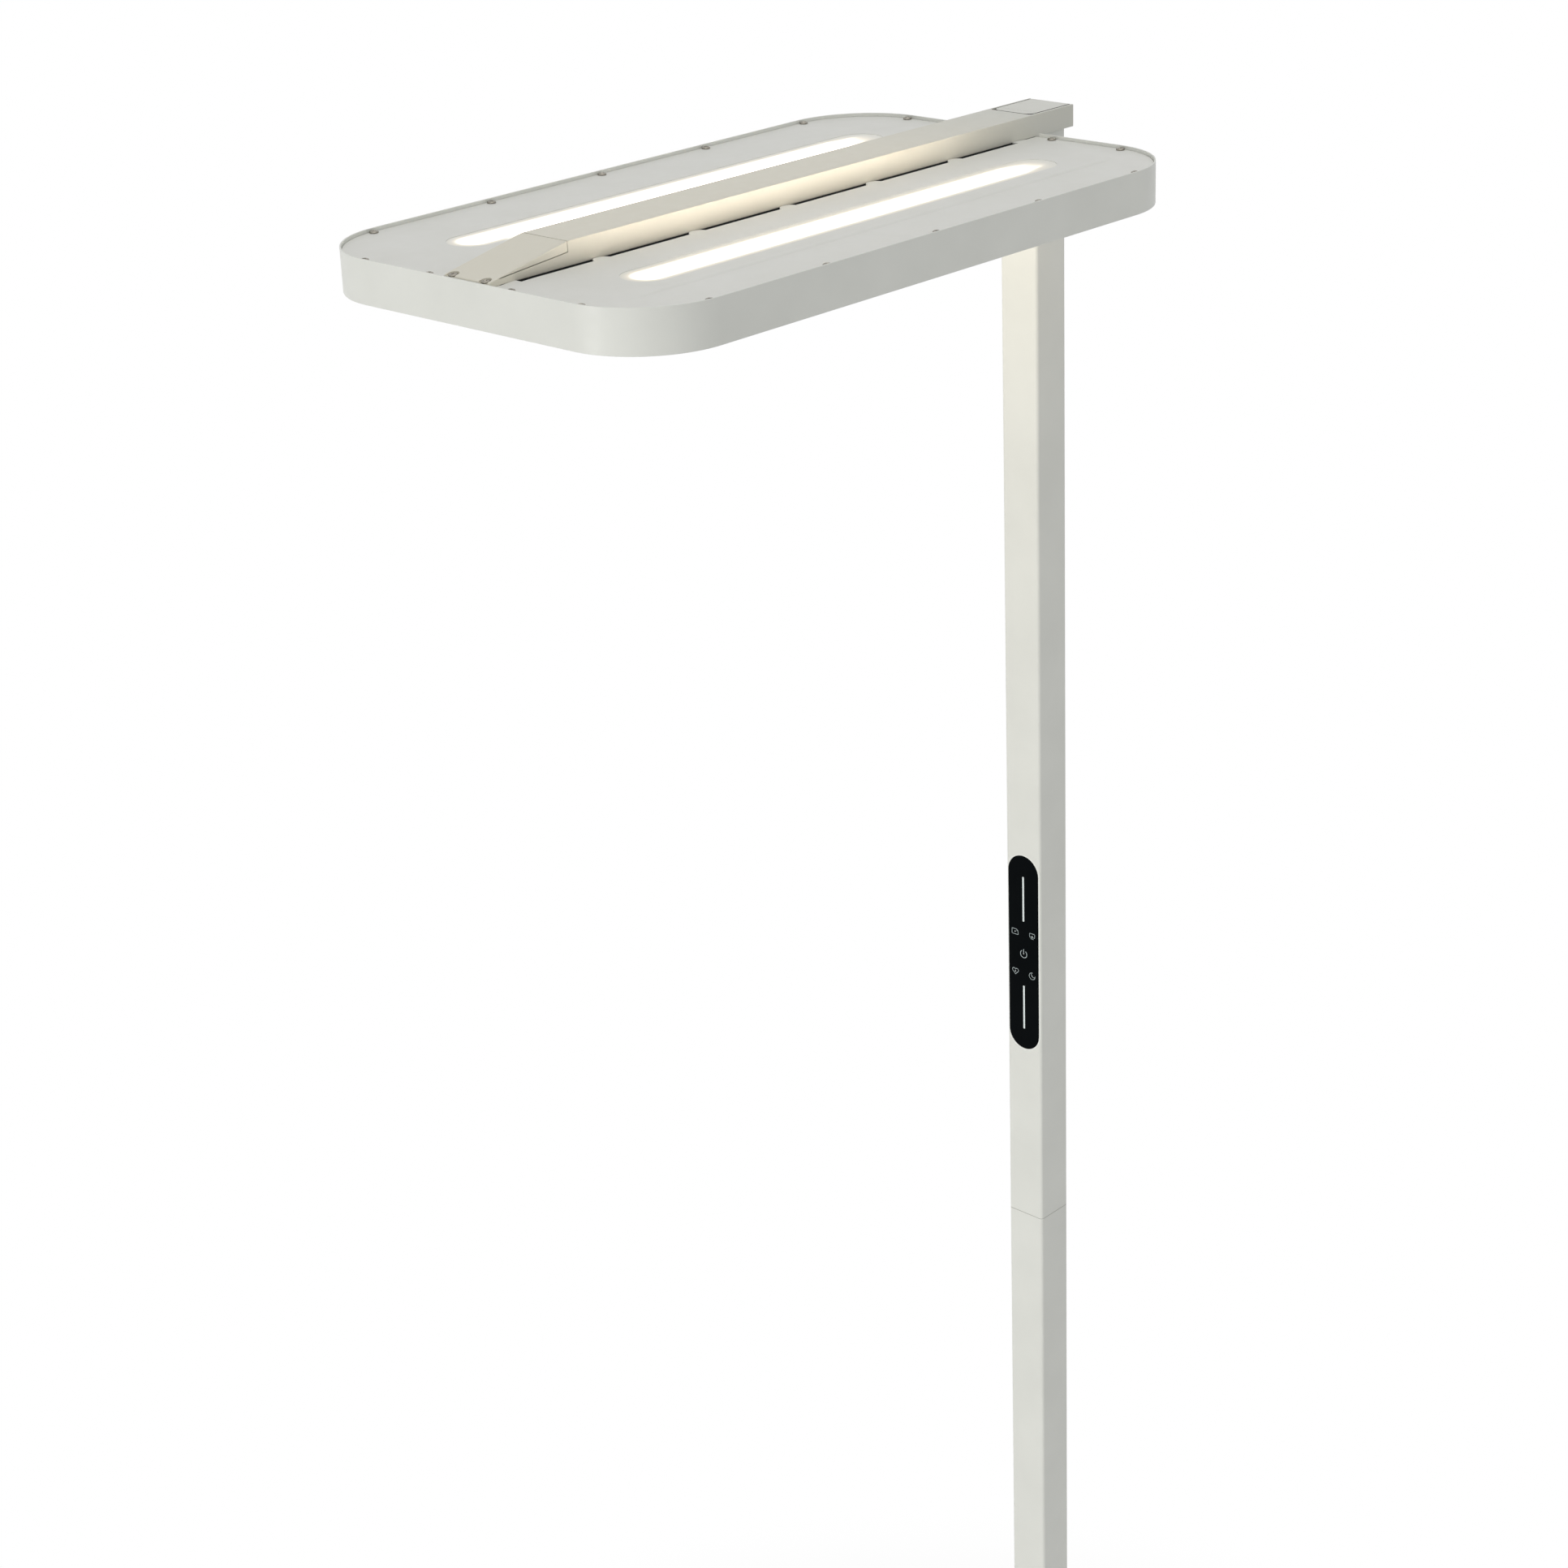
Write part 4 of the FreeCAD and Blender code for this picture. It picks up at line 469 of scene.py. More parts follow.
def grown(outline, distance):
    """An outline moved outwards along its corners' normals."""
    moved = []
    count = len(outline)
    for i, here in enumerate(outline):
        before = Vector(here) - Vector(outline[i - 1])
        after = Vector(outline[(i + 1) % count]) - Vector(here)
        before.normalize()
        after.normalize()
        bisector = Vector((before.y + after.y, -before.x - after.x))
        scale = distance / max(0.5, (1 + before.dot(after)) / 2) / 2
        moved.append((here[0] + bisector.x * scale, here[1] + bisector.y * scale))
    return moved


def at_level(outline, z):
    """An outline as points at one level."""
    return [(x, y, z) for x, y in outline]


def loft(shape, rings, closed=False, caps=True):
    """Adds a skin through rings of equal length; closed joins the last ring to the first."""
    rows = [[shape.verts.new(point) for point in ring] for ring in rings]
    pairs = list(zip(rows, rows[1:]))
    if closed:
        pairs.append((rows[-1], rows[0]))
    count = len(rows[0])
    for low, high in pairs:
        for i in range(count):
            j = (i + 1) % count
            shape.faces.new((low[i], low[j], high[j], high[i]))
    if caps and not closed:
        shape.faces.new(rows[0][::-1])
        shape.faces.new(rows[-1])
    return shape


def plate(outline, low, high, edge):
    """A plate whose upper edge is rounded."""
    turn = [math.pi / 2 * i / 3 for i in range(4)]
    rings = [at_level(outline, low)]
    rings += [at_level(grown(outline, -edge * (1 - math.cos(t))) if t else outline,
                       high - edge * (1 - math.sin(t))) for t in turn]
    return solid(rings)


def solid(rings, closed=False):
    """A closed skin through rings, as its own mesh."""
    return loft(bmesh.new(), rings, closed)


def prism(outline, low, high):
    """A plain upright prism."""
    return solid([at_level(outline, low), at_level(outline, high)])


def block(x0, x1, y0, y1, z0, z1):
    """A plain cutter between two corners."""
    return prism([(x0, y0), (x1, y0), (x1, y1), (x0, y1)], z0, z1)


def upright(shape, y_face):
    """Turns a shape drawn flat so that its top faces -Y, on a plane of the pole."""
    turn = Matrix.Rotation(math.radians(90), 4, "X")
    bmesh.ops.transform(shape, matrix=Matrix.Translation((0, y_face, 0)) @ turn, verts=shape.verts)
    return shape


def mesh_of(shape, name):
    """A mesh from a millimetre shape, which is used up."""
    bmesh.ops.recalc_face_normals(shape, faces=shape.faces)
    mesh = bpy.data.meshes.new(name)
    shape.to_mesh(mesh)
    shape.free()
    return mesh


def joined(shapes):
    """Several shapes in one."""
    whole = shapes[0]
    for shape in shapes[1:]:
        spare = mesh_of(shape, "spare")
        whole.from_mesh(spare)
        bpy.data.meshes.remove(spare)
    return whole


def cut(shape, tools):
    """A shape less its tools, made once and kept as a plain mesh."""
    body = bpy.data.objects.new("being_cut", mesh_of(shape, "being_cut"))
    bpy.context.scene.collection.objects.link(body)
    helpers = []
    for tool in tools:
        helper = bpy.data.objects.new("cutter", mesh_of(tool, "cutter"))
        bpy.context.scene.collection.objects.link(helper)
        step = body.modifiers.new("cut", "BOOLEAN")
        step.operation = "DIFFERENCE"
        step.solver = "EXACT"
        step.object = helper
        helpers.append(helper)
    bpy.context.view_layer.update()
    done = body.evaluated_get(bpy.context.evaluated_depsgraph_get())
    result = bmesh.new()
    result.from_mesh(done.to_mesh())
    for helper in helpers + [body]:
        spare = helper.data
        bpy.data.objects.remove(helper)
        bpy.data.meshes.remove(spare)
    bmesh.ops.dissolve_limit(result, angle_limit=math.radians(FLAT_WITHIN), verts=result.verts,
                             edges=result.edges)
    return result


def second_finish(shape, where):
    """Gives the faces whose middle passes a test the piece's second finish."""
    for face in shape.faces:
        if where(face.calc_center_median()):
            face.material_index = 1
    return shape


def piece(name, shape, finishes, slot, *nodes):
    """Turns a millimetre shape into a piece of the lamp that stands for its CAD nodes."""
    bmesh.ops.scale(shape, vec=(MM, MM, MM), verts=shape.verts)
    mesh = mesh_of(shape, name)
    for one in finishes:
        mesh.materials.append(one)
    mesh.shade_smooth()
    mesh.set_sharp_from_angle(angle=math.radians(SHARP_FROM))
    made = bpy.data.objects.new(name, mesh)
    bpy.context.scene.collection.objects.link(made)
    weight = made.modifiers.new("flat_faces_lead", "WEIGHTED_NORMAL")
    weight.keep_sharp = True
    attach(made, BODY)
    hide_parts(*nodes)


# ---- head ---------------------------------------------------------------------------------------
def rim():
    """Band with soft edges, its lip below, and the notch for the beam at the rear."""
    soft = RIM_EDGE
    turn = [math.radians(a) for a in (0, 30, 60, 90)]
    path = [(soft - soft * math.sin(t), RIM_LOW + soft - soft * math.cos(t)) for t in turn]
    path += [(soft - soft * math.cos(t), RIM_TOP - soft + soft * math.sin(t)) for t in turn]
    path += [(RIM_WALL - soft + soft * math.sin(t), RIM_TOP - soft + soft * math.cos(t)) for t in turn]
    path += [(RIM_WALL, RIM_LOW + RIM_WALL), (RIM_LIP, RIM_LOW + RIM_WALL), (RIM_LIP, RIM_LOW)]
    rings = [at_level(head_outline(inset), z) for inset, z in path]
    half = HALF_BEAM + NOTCH_GAP
    notch = block(-half, half, HEAD_REAR - RIM_WALL - PAST, HEAD_REAR + PAST, BEAM_LOW, RIM_TOP + PAST)
    return cut(solid(rings, closed=True), [notch])


def screw_places():
    """Axes of the nine cover screws on the right half."""
    pitch = (HEAD_L - 2 * SCREW_END) / (SIDE_SCREWS - 1)
    places = [(HALF_HEAD - SCREW_INSET, HEAD_REAR - SCREW_END - pitch * i) for i in range(SIDE_SCREWS)]
    for y in (HEAD_REAR - SCREW_INSET, HEAD_FRONT + SCREW_INSET):
        places += [(HALF_BEAM + SCREW_BY_BEAM, y), (HALF_HEAD - SCREW_END, y)]
    return places


def panel_line(share):
    """The panel's outline on the right, from front to rear, at a share of its slope."""
    inner = HALF_BEAM + SEAM
    half = PANEL_HALF - PANEL_SLOPE * share
    front = HEAD_FRONT + PANEL_END + PANEL_END_SLOPE * share
    rear = HEAD_REAR - PANEL_END - PANEL_END_SLOPE * share
    radius = PANEL_R - PANEL_SLOPE * share
    return ([(inner, front)] + arc(half - radius, front + radius, radius, -90, 0, 20)
            + arc(half - radius, rear - radius, radius, 0, 90, 20) + [(inner, rear)])


def vent(side):
    """Cutter for the gap between a panel and the beam, with its half-round tabs."""
    middle = TAB_TIP + TAB_R
    lean = math.degrees(math.acos((middle - VENT_EDGE) / TAB_R))
    step = (VENT_REAR - VENT_FRONT - 2 * TAB_END) / (TAB_COUNT - 1)
    inner = HALF_BEAM - PAST
    line = [(inner, VENT_REAR), (inner, VENT_FRONT), (VENT_EDGE, VENT_FRONT)]
    for i in range(TAB_COUNT):
        line += arc(middle, VENT_FRONT + TAB_END + step * i, TAB_R, 180 + lean, 180 - lean, 18)
    line.append((VENT_EDGE, VENT_REAR))
    return prism([(side * x, y) for x, y in line], BEAM_LOW - COVER_T - PAST, PANEL_TOP + PAST)


def filled(shape, rows):
    """Adds a flat face, as triangles, between an outer row of points and the holes in it."""
    flat = [v for row in rows for v in row]
    for tri in tessellate_polygon([[v.co.copy() for v in row] for row in rows]):
        shape.faces.new([flat[i] for i in tri])


def thickened(shape, depth):
    """A sheet from its upper face: the same face a depth lower, and walls all round."""
    rims = [edge for edge in shape.edges if edge.is_boundary]
    low = {v: shape.verts.new(v.co - Vector((0, 0, depth))) for v in list(shape.verts)}
    for face in list(shape.faces):
        shape.faces.new([low[v] for v in reversed(face.verts)])
    for a, b in [edge.verts for edge in rims]:
        shape.faces.new((a, b, low[b], low[a]))
    return shape


def cover(side):
    """One top cover: a screw border, and a pressed panel with the light slot and the vent's edge."""
    shape = bmesh.new()
    inner = HALF_BEAM + SEAM

    def row(points, z):
        return [shape.verts.new((side * x, y, z)) for x, y in points]

    slopes = []
    for t in (0.0, 0.1, 0.2, 0.35, 0.5, 0.7, 0.85, 1.0):
        rise = 1 - (1 - t) ** 2
        slopes.append(row(panel_line(t), BEAM_LOW + (PANEL_TOP - BEAM_LOW) * rise))
    for low, high in zip(slopes, slopes[1:]):
        for i in range(len(low) - 1):
            shape.faces.new((low[i], low[i + 1], high[i + 1], high[i]))
    edge = RIM_WALL + COVER_GAP
    corners = [p for p in head_outline(edge) if p[0] > inner]
    outside = row([(inner, HEAD_FRONT + edge)] + corners + [(inner, HEAD_REAR - edge)], BEAM_LOW)
    filled(shape, [outside + slopes[0][::-1]]
           + [row(circle(x, y, COVER_HOLE_R, 16), BEAM_LOW) for x, y in screw_places()])
    slot = row(slot_outline(SLOT_X, HEAD_MID, SLOT_W, SLOT_L), PANEL_TOP)
    filled(shape, [slopes[-1], slot])
    return cut(thickened(shape, COVER_T), [vent(side)])


def lens(side):
    """Opal strip: a softly crowned plateau in the slot, with its flange below the cover."""
    x = side * SLOT_X
    flange = slot_outline(x, HEAD_MID, SLOT_W + 2 * LENS_FLANGE, SLOT_L + 2 * LENS_FLANGE)
    top = slot_outline(x, HEAD_MID, SLOT_W - 2 * LENS_GAP, SLOT_L - 2 * LENS_GAP)
    under = PANEL_TOP - COVER_T
    rings = [at_level(flange, LENS_LOW), at_level(flange, under), at_level(top, under)]
    for inset, drop in ((0.0, 0.15), (0.05, 0.03), (0.2, 0.0)):
        rings.append(at_level(grown(top, -inset), LENS_TOP - drop))
    return solid(rings)


def pan_head(x, y, seat, turn):
    """A pan head with a rolled edge, a low dome and a tapered cross recess."""
    profile = [(0.92, 0.0), (0.99, 0.12), (1.0, 0.3), (0.985, 0.5), (0.93, 0.7), (0.84, 0.84),
               (0.7, 0.93), (0.5, 0.98), (0.25, 1.0)]
    rings = [at_level(circle(0, 0, SCREW_R * r, 40), SCREW_H * h) for r, h in profile]
    arm = 0.60 * SCREW_R
    half = 0.22 * SCREW_R
    cross = [(arm, half), (half, half), (half, arm), (-half, arm), (-half, half), (-arm, half),
             (-arm, -half), (-half, -half), (-half, -arm), (half, -arm), (half, -half), (arm, -half)]
    narrow = [(x / 2, y / 2) for x, y in cross]
    recess = solid([at_level(narrow, SCREW_H * 0.3), at_level(cross, SCREW_H * 1.15)])
    head = cut(solid(rings), [recess])
    place = Matrix.Translation((x, y, seat)) @ Matrix.Rotation(math.radians(turn), 4, "Z")
    bmesh.ops.transform(head, matrix=place, verts=head.verts)
    return head


def beam_bar(y0, y1):
    """The beam's bar with soft long edges."""
    outline = round_box(HALF_BEAM, BEAM_LOW, TOP, BEAM_EDGE, 4)
    return solid([[(x, y, z) for x, z in outline] for y in (y0, y1)])


def cap_level(y):
    """Level of the cap's slope."""
    tip = RIM_TOP + CAP_TIP_RISE
    return tip + (TOP - tip) * (y - CAP_TIP) / (CAP_JOINT - CAP_TIP)


def cap_section(y, low, lift=0.0):
    """Outline across the cap at a place along the beam."""
    half = HALF_BEAM
    top = cap_level(y) + lift
    right = [(half - BEAM_EDGE + a, top - BEAM_EDGE + b)
             for a, b in arc(0, 0, BEAM_EDGE, 0, 90, 4)]
    left = [(-x, z) for x, z in reversed(right)]
    return [(x, y, z) for x, z in [(-half, low), (half, low)] + right + left]


def lid_plan(gap, radius):
    """The lid's plan, round at its front corners and straight past the beam's rear."""
    half = LID_HALF + gap
    front = LID_FRONT - gap
    return (arc(-half + radius, front + radius, radius, 180, 270, 12)
            + arc(half - radius, front + radius, radius, 270, 360, 12)
            + [(half, BEAM_REAR + PAST), (-half, BEAM_REAR + PAST)])


def beam():
    """Box extrusion with the lid's opening and the slope for the cap."""
    inner = HALF_BEAM - BEAM_WALL
    hollow = block(-inner, inner, CAP_NOSE - PAST, BEAM_REAR + PAST, BEAM_LOW + BEAM_FLOOR_T,
                   TOP - BEAM_TOP_T)
    opening = prism(lid_plan(LID_GAP, OPENING_R), TOP - BEAM_TOP_T - 0.01, TOP + PAST)
    under = cap_level(CAP_NOSE) - CAP_FLANGE_NOSE - CAP_GAP
    side = [(CAP_JOINT, TOP + PAST), (CAP_NOSE - PAST, TOP + PAST), (CAP_NOSE - PAST, under),
            (CAP_NOSE, under), (CAP_JOINT, TOP - CAP_FLANGE - CAP_GAP)]
    slope = solid([[(x, y, z) for y, z in side] for x in (-HALF_BEAM - PAST, HALF_BEAM + PAST)])
    return cut(beam_bar(CAP_NOSE, BEAM_REAR), [hollow, opening, slope])


def lid():
    """Lid with round front corners and its flap down the rear end."""
    fold = arc(BEAM_REAR - LID_FOLD_R, TOP - LID_FOLD_R, LID_FOLD_R, 0, 90, 5)
    inner = BEAM_REAR - LID_FLAP_T
    foot = BEAM_LOW + BEAM_FLOOR_T + SEAM
    side = fold + [(LID_SPLIT, TOP), (LID_SPLIT, TOP - LID_T), (inner, TOP - LID_T), (inner, foot),
                   (BEAM_REAR, foot)]
    rear = solid([[(x, y, z) for y, z in side] for x in (-LID_HALF, LID_HALF)])
    plan = [(x, min(y, LID_SPLIT)) for x, y in lid_plan(0, LID_R)]
    front = plate(plan, TOP - LID_T, TOP, LID_EDGE)
    return second_finish(joined([rear, front]), lambda at: at.z < LID_DARK_Z and at.y < LID_DARK_Y)


def cap():
    """Sloped cap: thin shell with a rounded tip, a solid nose and a seat for each screw."""
    rings = []
    for a in (90, 67, 45, 22, 0):
        back = CAP_ROUND * (1 - math.sin(math.radians(a)))
        drop = CAP_ROUND * (1 - math.cos(math.radians(a)))
        rings.append(cap_section(CAP_TIP + back, BEAM_LOW, -drop))
    nose_top = cap_level(CAP_NOSE)
    rings += [cap_section(CAP_NOSE, BEAM_LOW), cap_section(CAP_NOSE + 0.01, nose_top - CAP_FLANGE_NOSE),
              cap_section(CAP_JOINT - CAP_GAP, TOP - CAP_FLANGE)]
    half = HALF_BEAM - CAP_T
    low = BEAM_LOW - PAST
    inside = [[(-half, y, low), (half, y, low), (half, y, top), (-half, y, top)]
              for y, top in ((CAP_NOSE, nose_top - CAP_T), (CAP_HOLLOW_END, TOP - CAP_JOINT_T))]
    tools = [solid(inside)]
    for x in (-CAP_SCREW_X, CAP_SCREW_X):
        seat = arc(x, CAP_SCREW_Y, CAP_SEAT_R, 0, 180, 20)
        seat += [(x - CAP_SEAT_R, CAP_TIP - PAST), (x + CAP_SEAT_R, CAP_TIP - PAST)]
        tools.append(prism(seat, CAP_SEAT, TOP + PAST))
    return cut(solid(rings), tools)


# ---- pole ---------------------------------------------------------------------------------------
def at_seam(place):
    """True on the broken ends of the tubes where they meet."""
    return abs(place.z - POLE_SEAM) < POLE_END_SOFT


def tube(z0, z1):
    """Square tube with rounded edges and softly broken ends."""
    half = HALF_POLE - POLE_WALL
    outer = round_box(HALF_POLE, -HALF_POLE, HALF_POLE, POLE_R, 10)
    end = grown(outer, -POLE_END_SOFT)
    inner = round_box(half, -half, half, POLE_R - POLE_WALL, 10)
    rings = [at_level(end, z0), at_level(outer, z0 + POLE_END_SOFT), at_level(outer, z1 - POLE_END_SOFT),
             at_level(end, z1), at_level(inner, z1), at_level(inner, z0)]
    return solid(rings, closed=True)


def rear_hole(z):
    """Cutter for the countersunk hole of one rear-face screw."""
    inside = HALF_POLE - POLE_WALL
    steps = ((POLE_SINK_R + PAST, HALF_POLE + PAST), (POLE_HOLE_R, inside), (POLE_HOLE_R, inside - PAST))
    return solid([[(x, y, z + h) for x, h in circle(0, 0, radius, 24)] for radius, y in steps])


def upper_pole():
    """Upper tube with the touch panel's window and the screws' holes in its rear face."""
    hole = slot_outline(0, TOUCH_Z, TOUCH_W + 2 * SEAM, TOUCH_H + 2 * SEAM, 32)
    window = solid([at_level(grown(hole, PAST + WINDOW_EDGE), PAST), at_level(hole, -WINDOW_EDGE),
                    at_level(hole, -POLE_WALL - PAST)])
    levels = (BEAM_LOW - POLE_SCREW_NEAR, POLE_SEAM + POLE_SCREW_NEAR, POLE_SEAM + POLE_SCREW_FAR)
    tools = [upright(window, -HALF_POLE)] + [rear_hole(z) for z in levels]
    return second_finish(cut(tube(POLE_SEAM, BEAM_LOW), tools), at_seam)


def lower_pole():
    """Lower tube with the inlet's opening and screw holes in its rear face."""
    opening = block(-INLET_HALF_W, INLET_HALF_W, HALF_POLE - POLE_WALL - PAST, HALF_POLE + PAST,
                    INLET_Z - INLET_HALF_H, INLET_Z + INLET_HALF_H)
    levels = (BASE_TOP + POLE_SCREW_NEAR, POLE_SEAM - POLE_SCREW_NEAR, POLE_SEAM - POLE_SCREW_FAR)
    tools = [opening] + [rear_hole(z) for z in levels]
    return second_finish(cut(tube(BASE_TOP, POLE_SEAM), tools), at_seam)


def line_mark(points, width, closed=False):
    """A printed line: flat faces of an even width, just above the glass."""
    shape = bmesh.new()
    rows = []
    count = len(points)
    for i, here in enumerate(points):
        before = points[i - 1] if (i or closed) else here
        after = points[(i + 1) % count] if (i < count - 1 or closed) else here
        way = Vector(after) - Vector(before)
        way.normalize()
        side = Vector((-way.y, way.x)) * width / 2
        rows.append([shape.verts.new((here[0] + s * side.x, here[1] + s * side.y, MARK_RISE))
                     for s in (1, -1)])
    pairs = list(zip(rows, rows[1:])) + ([(rows[-1], rows[0])] if closed else [])
    for a, b in pairs:
        shape.faces.new((a[0], a[1], b[1], b[0]))
    return shape


def disc_mark(outline):
    """A printed filled shape."""
    shape = bmesh.new()
    shape.faces.new([shape.verts.new((x, y, MARK_RISE)) for x, y in outline])
    return shape


def rounded_line(corners, radius, steps=4):
    """A closed outline whose corners are rounded."""
    points = []
    count = len(corners)
    for i, here in enumerate(corners):
        here = Vector(here)
        back = (Vector(corners[i - 1]) - here).normalized() * radius
        on = (Vector(corners[(i + 1) % count]) - here).normalized() * radius
        for k in range(steps + 1):
            t = k / steps
            points.append(tuple(here + back * (1 - t) ** 2 + on * t ** 2))
    return points


def sheet_symbol(cx, cy):
    """A sheet of paper with a folded corner."""
    outline = rounded_line([(-3.5, -2.55), (3.5, -2.55), (3.5, 1.0), (1.9, 2.55), (-3.5, 2.55)], 0.6)
    fold = [(1.9, 2.55), (1.9, 1.0), (3.5, 1.0)]
    return [line_mark([(cx + x, cy + y) for x, y in outline], MARK_LINE, True),
            line_mark([(cx + x, cy + y) for x, y in fold], MARK_LINE * 0.7)]


def screen_symbol(cx, cy):
    """A screen on its foot."""
    outline = rounded_line([(-2.9, -0.9), (2.9, -0.9), (2.9, 2.7), (-2.9, 2.7)], 0.5)
    foot = [(-1.7, -2.4), (1.7, -2.4)]
    stem = [(0, -0.9), (0, -2.4)]
    return [line_mark([(cx + x, cy + y) for x, y in outline], MARK_LINE, True),
            line_mark([(cx + x, cy + y) for x, y in foot], MARK_LINE),
            line_mark([(cx + x, cy + y) for x, y in stem], MARK_LINE)]


def power_symbol(cx, cy):
    """An open ring with a bar."""
    return [line_mark(arc(cx, cy - 0.4, 3.65, 125, 415, 36), POWER_LINE),
            line_mark([(cx, cy - 0.2), (cx, cy + 4.5)], POWER_LINE)]


def heart_symbol(cx, cy):
    """A plain heart."""
    points = []
    for i in range(48):
        t = 2 * math.pi * i / 48
        x = 16 * math.sin(t) ** 3
        y = 13 * math.cos(t) - 5 * math.cos(2 * t) - 2 * math.cos(3 * t) - math.cos(4 * t)
        points.append((cx + x * 0.215, cy + y * 0.215 + 0.4))
    return [line_mark(points, MARK_LINE, True)]


def moon_symbol(cx, cy):
    """A crescent that opens to the upper right."""
    outer = arc(cx, cy, 3.3, 80, 370, 40)
    inner = arc(cx + 1.5, cy + 1.5, 2.42, -32, 122 - 360, 40)
    return [line_mark(outer + inner, MARK_LINE, True)]


def touch_panel():
    """Glass with its two slide lines and five printed symbols."""
    glass = plate(slot_outline(0, TOUCH_Z, TOUCH_W, TOUCH_H, 32), -GLASS_T, 0, GLASS_EDGE)
    marks = []
    lights = []
    for low, high in SLIDES:
        lights.append(disc_mark(slot_outline(0, TOUCH_Z + (low + high) / 2, SLIDE_W, high - low, 8)))
    places = ((sheet_symbol, -9.7, 19.4), (screen_symbol, 9.9, 19.6), (power_symbol, 0, -0.2),
              (heart_symbol, -9.6, -20.4), (moon_symbol, 9.6, -20.0))
    for symbol, x, rise in places:
        marks += symbol(x, TOUCH_Z + rise)
        lights.append(disc_mark(circle(x, TOUCH_Z + rise, DOT_R, 16)))
    # painted light: the lit slide lines and dots take the brighter colour
    for index, group in ((1, marks), (2, lights)):
        for mark in group:
            for face in mark.faces:
                face.material_index = index
    return upright(joined([glass] + marks + lights), -HALF_POLE)


# ---- base ---------------------------------------------------------------------------------------
def base_ring(inset, z):
    """The base plate's outline, a distance inside its edge."""
    return at_level(round_box(BASE_HALF_W - inset, BASE_FRONT + inset, BASE_REAR - inset,
                              BASE_R - inset, 24), z)


def base():
    """Steel base plate with rounded corners, a broken lower edge and a rounded upper one."""
    rings = [base_ring(BASE_LOW_EDGE, BASE_LOW), base_ring(0, BASE_LOW + BASE_LOW_EDGE)]
    for i in range(7):
        t = math.pi / 2 * i / 6
        rings.append(base_ring(BASE_TOP_EDGE * (1 - math.cos(t)),
                               BASE_TOP - BASE_TOP_EDGE * (1 - math.sin(t))))
    return solid(rings)


# ---- the pieces -----------------------------------------------------------------------------------
piece("rim_band", rim(), [PAINT], "powder_coat", "head_rim")
for side, word, opal in ((-1, "left", OPAL_LEFT), (1, "right", OPAL_RIGHT)):
    piece("top_cover_" + word, cover(side), [PAINT_SHEET], "powder_coat_sheet", "cover_" + word)
    piece("opal_strip_" + word, lens(side), [opal], "opal_lens", "uplight_lens_" + word)

heads = []
for count, (x, y) in enumerate(screw_places()):
    heads.append(pan_head(x, y, BEAM_LOW, 17 + 37 * count))
    heads.append(pan_head(-x, y, BEAM_LOW, 53 + 41 * count))
piece("cover_pan_screws", joined(heads), [NICKEL], "stainless_screw", "cover_screws")
piece("cap_pan_screws", joined([pan_head(-CAP_SCREW_X, CAP_SCREW_Y, CAP_SEAT, 25),
                                pan_head(CAP_SCREW_X, CAP_SCREW_Y, CAP_SEAT, 60)]),
      [NICKEL], "stainless_screw", "cap_screws")
piece("beam_extrusion", beam(), [PAINT_BEAM_WITH_PAINTED_LIGHT], "powder_coat", "beam")
piece("beam_rear_lid", lid(), [PAINT_LID, LID_SHADE], "powder_coat", "beam_lid")
piece("beam_sloped_cap", cap(), [PAINT_BEAM_WITH_PAINTED_LIGHT], "powder_coat", "beam_front_cap")
piece("pole_upper_tube", upper_pole(), [PAINT_POLE_WITH_PAINTED_HIGHLIGHT, SEAM_SHADE], "powder_coat", "pole_upper")
piece("pole_lower_tube", lower_pole(), [PAINT, SEAM_SHADE], "powder_coat", "pole_lower")
piece("touch_panel_glass", touch_panel(), [GLASS, PRINT, LIT_MARKS_PAINTED], "dark_glass", "touch_glass")
piece("base_steel_plate", base(), [PAINT], "powder_coat", "base_plate")


# ---- floor, light and camera ------------------------------------------------------------------------
SKY = 0.47                  # plain light from all round
BASE_MIDDLE = 0.19          # the base's middle is this far in front of the pole, in metres
WHITE_FROM = 0.45           # metres from the base's middle where the floor begins to turn white
WHITE_TO = 1.05             # and where it is white
WHITE_NEAR = 0.70           # share of white close to the lamp; the rest takes its shadow
GLOW_POWER = 0.031          # sideways glow of each opal strip on the beam
GLOW_Y = -0.3               # places and sizes of the glows in metres
GLOW_Z = 1.989
GLOW_LENGTH = 0.38
GLOW_HEIGHT = 0.008
CAMERA_PLACE = (1.66204, -2.06364, 2.52281)  # in metres
CAMERA_AZIMUTH = 43.67697   # in degrees, from the lamp's front towards its right side
CAMERA_DOWN = 22.84545      # degrees below level
CAMERA_ROLL = -2.21887
CAMERA_LENS = 74.38         # millimetres, for a frame 36 mm wide


def seen_directly(tree):
    """One where the camera, a mirror or clear glass looks, else zero."""
    rays = add(tree, "LightPath")
    first = add(tree, "Math", {"operation": "MAXIMUM"},
                {0: rays.outputs["Is Camera Ray"], 1: rays.outputs["Is Glossy Ray"]})
    both = add(tree, "Math", {"operation": "MAXIMUM"},
               {0: first.outputs[0], 1: rays.outputs["Is Transmission Ray"]})
    return both.outputs[0]


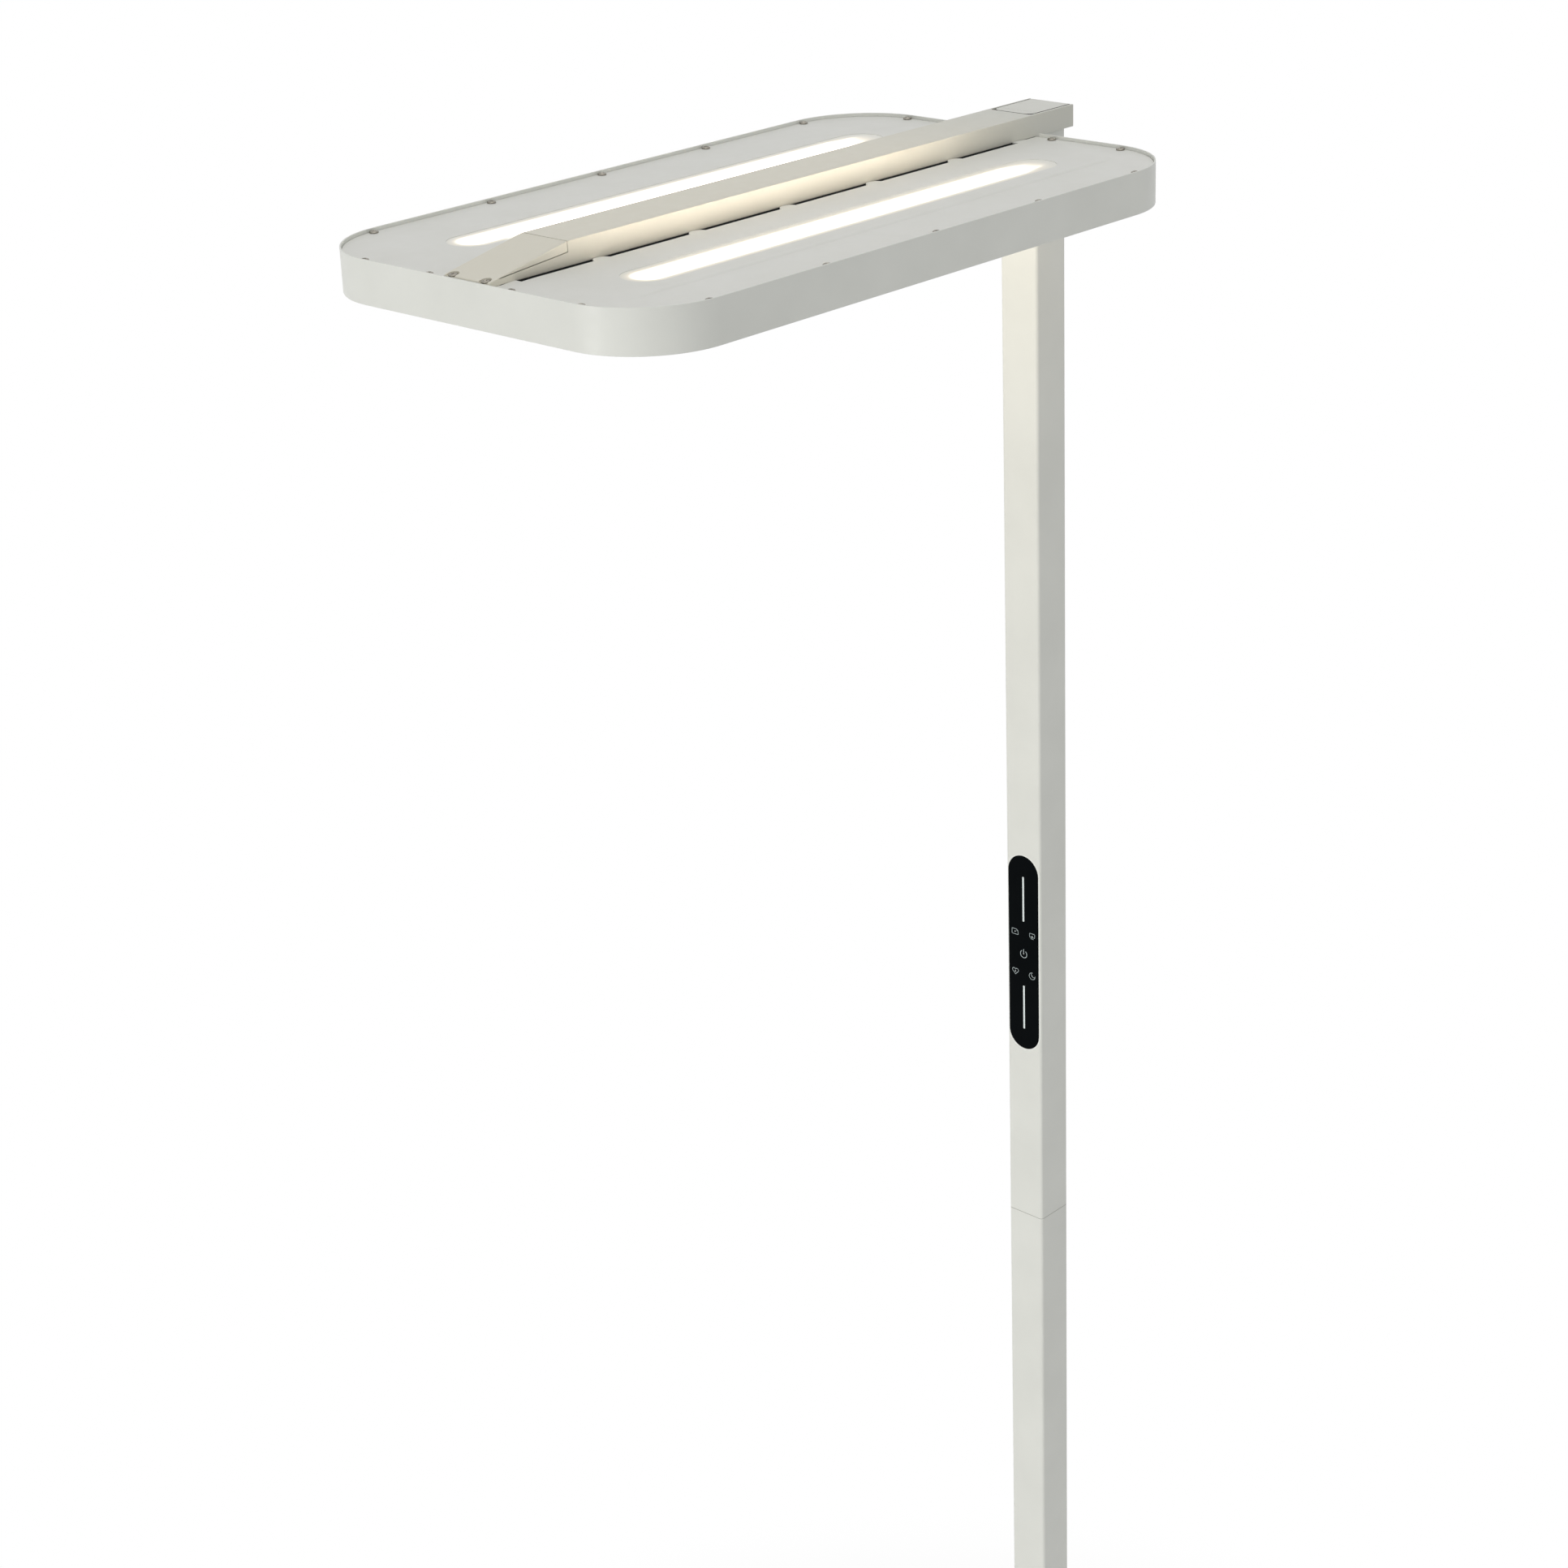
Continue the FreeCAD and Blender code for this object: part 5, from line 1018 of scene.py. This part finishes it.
def studio_floor():
    """Pale matt floor that turns to the white of the backdrop away from the lamp."""
    mesh = bpy.data.meshes.new("studio_floor")
    reach = 40.0
    mesh.from_pydata([(-reach, -reach, 0), (reach, -reach, 0), (reach, reach, 0), (-reach, reach, 0)],
                     [], [(0, 1, 2, 3)])
    floor = bpy.data.objects.new("studio_floor", mesh)
    bpy.context.scene.collection.objects.link(floor)
    material, tree, surface = finish("pale_matt_floor", Roughness=0.9, Base_Color=srgb("#F2F2F1"))
    place = add(tree, "TexCoord")
    centre = add(tree, "Mapping", {"Location": (0, BASE_MIDDLE, 0)}, {"Vector": place.outputs["Object"]})
    away = add(tree, "VectorMath", {"operation": "LENGTH"}, {0: centre.outputs[0]})
    ramp = add(tree, "MapRange", {"interpolation_type": "SMOOTHSTEP", "From Min": WHITE_FROM,
                                  "From Max": WHITE_TO, "To Min": WHITE_NEAR},
               {"Value": away.outputs["Value"]})
    share = add(tree, "Math", {"operation": "MULTIPLY"}, {0: ramp.outputs["Result"], 1: seen_directly(tree)})
    white = add(tree, "Emission", {"Strength": 1.0})
    blend = add(tree, "MixShader", {}, {0: share.outputs[0], 1: surface.outputs[0], 2: white.outputs[0]})
    tree.links.new(blend.outputs[0], tree.nodes["Material Output"].inputs["Surface"])
    mesh.materials.append(material)


def studio_world():
    """Even light from all round, and a white backdrop where it is looked at."""
    world = bpy.data.worlds.new("studio")
    world.use_nodes = True
    tree = world.node_tree
    soft = tree.nodes["Background"]
    soft.inputs["Color"].default_value = srgb("#FDFEFF")
    soft.inputs["Strength"].default_value = SKY
    white = add(tree, "Background", {"Strength": 1.0, "Color": (1, 1, 1, 1)})
    blend = add(tree, "MixShader", {}, {0: seen_directly(tree), 1: soft.outputs[0], 2: white.outputs[0]})
    tree.links.new(blend.outputs[0], tree.nodes["World Output"].inputs["Surface"])
    bpy.context.scene.world = world


def studio_lamp(name, place, aim, size, power, height=None, colour="#FFFEFB"):
    """A soft light, square unless a height is given."""
    data = bpy.data.lights.new(name, "AREA")
    data.shape = "RECTANGLE"
    data.size = size
    data.size_y = height or size
    data.energy = power
    data.color = srgb(colour)[:3]
    lamp = bpy.data.objects.new(name, data)
    lamp.location = place
    lamp.visible_camera = False
    lamp.rotation_euler = (Vector(aim) - Vector(place)).to_track_quat("-Z", "Y").to_euler()
    bpy.context.scene.collection.objects.link(lamp)


def studio_camera():
    """The photograph's camera: 1.66 m to the right, 2.06 m in front and 2.52 m up."""
    data = bpy.data.cameras.new("photo_camera")
    data.sensor_width = 36.0
    data.lens = CAMERA_LENS
    camera = bpy.data.objects.new("photo_camera", data)
    turn = (Matrix.Rotation(math.radians(CAMERA_AZIMUTH), 4, "Z")
            @ Matrix.Rotation(math.radians(90 - CAMERA_DOWN), 4, "X")
            @ Matrix.Rotation(math.radians(CAMERA_ROLL), 4, "Z"))
    camera.matrix_world = Matrix.Translation(CAMERA_PLACE) @ turn
    bpy.context.scene.collection.objects.link(camera)
    bpy.context.scene.camera = camera


studio_floor()
studio_world()
studio_lamp("front_soft_light", (2.5, -9.0, 2.2), (0, -0.2, 1.5), 3.6, 90)
studio_lamp("low_front_light", (-1.5, -6.0, 0.9), (0, -0.3, 1.6), 1.0, 66)
studio_lamp("floor_fill_light", (0.3, -1.9, 0.25), (0, 0, 1.0), 0.8, 4.3)
studio_lamp("top_soft_light", (0.9, -0.8, 5.0), (0, -0.4, 2.0), 3.0, 34)
for side, word in ((-1, "left"), (1, "right")):
    studio_lamp("strip_glow_" + word, (side * 0.1, GLOW_Y, GLOW_Z), (side * 0.02, GLOW_Y, GLOW_Z),
                GLOW_LENGTH, GLOW_POWER, GLOW_HEIGHT, "#FFF1DF")
studio_camera()
bpy.context.scene.view_settings.view_transform = "Standard"
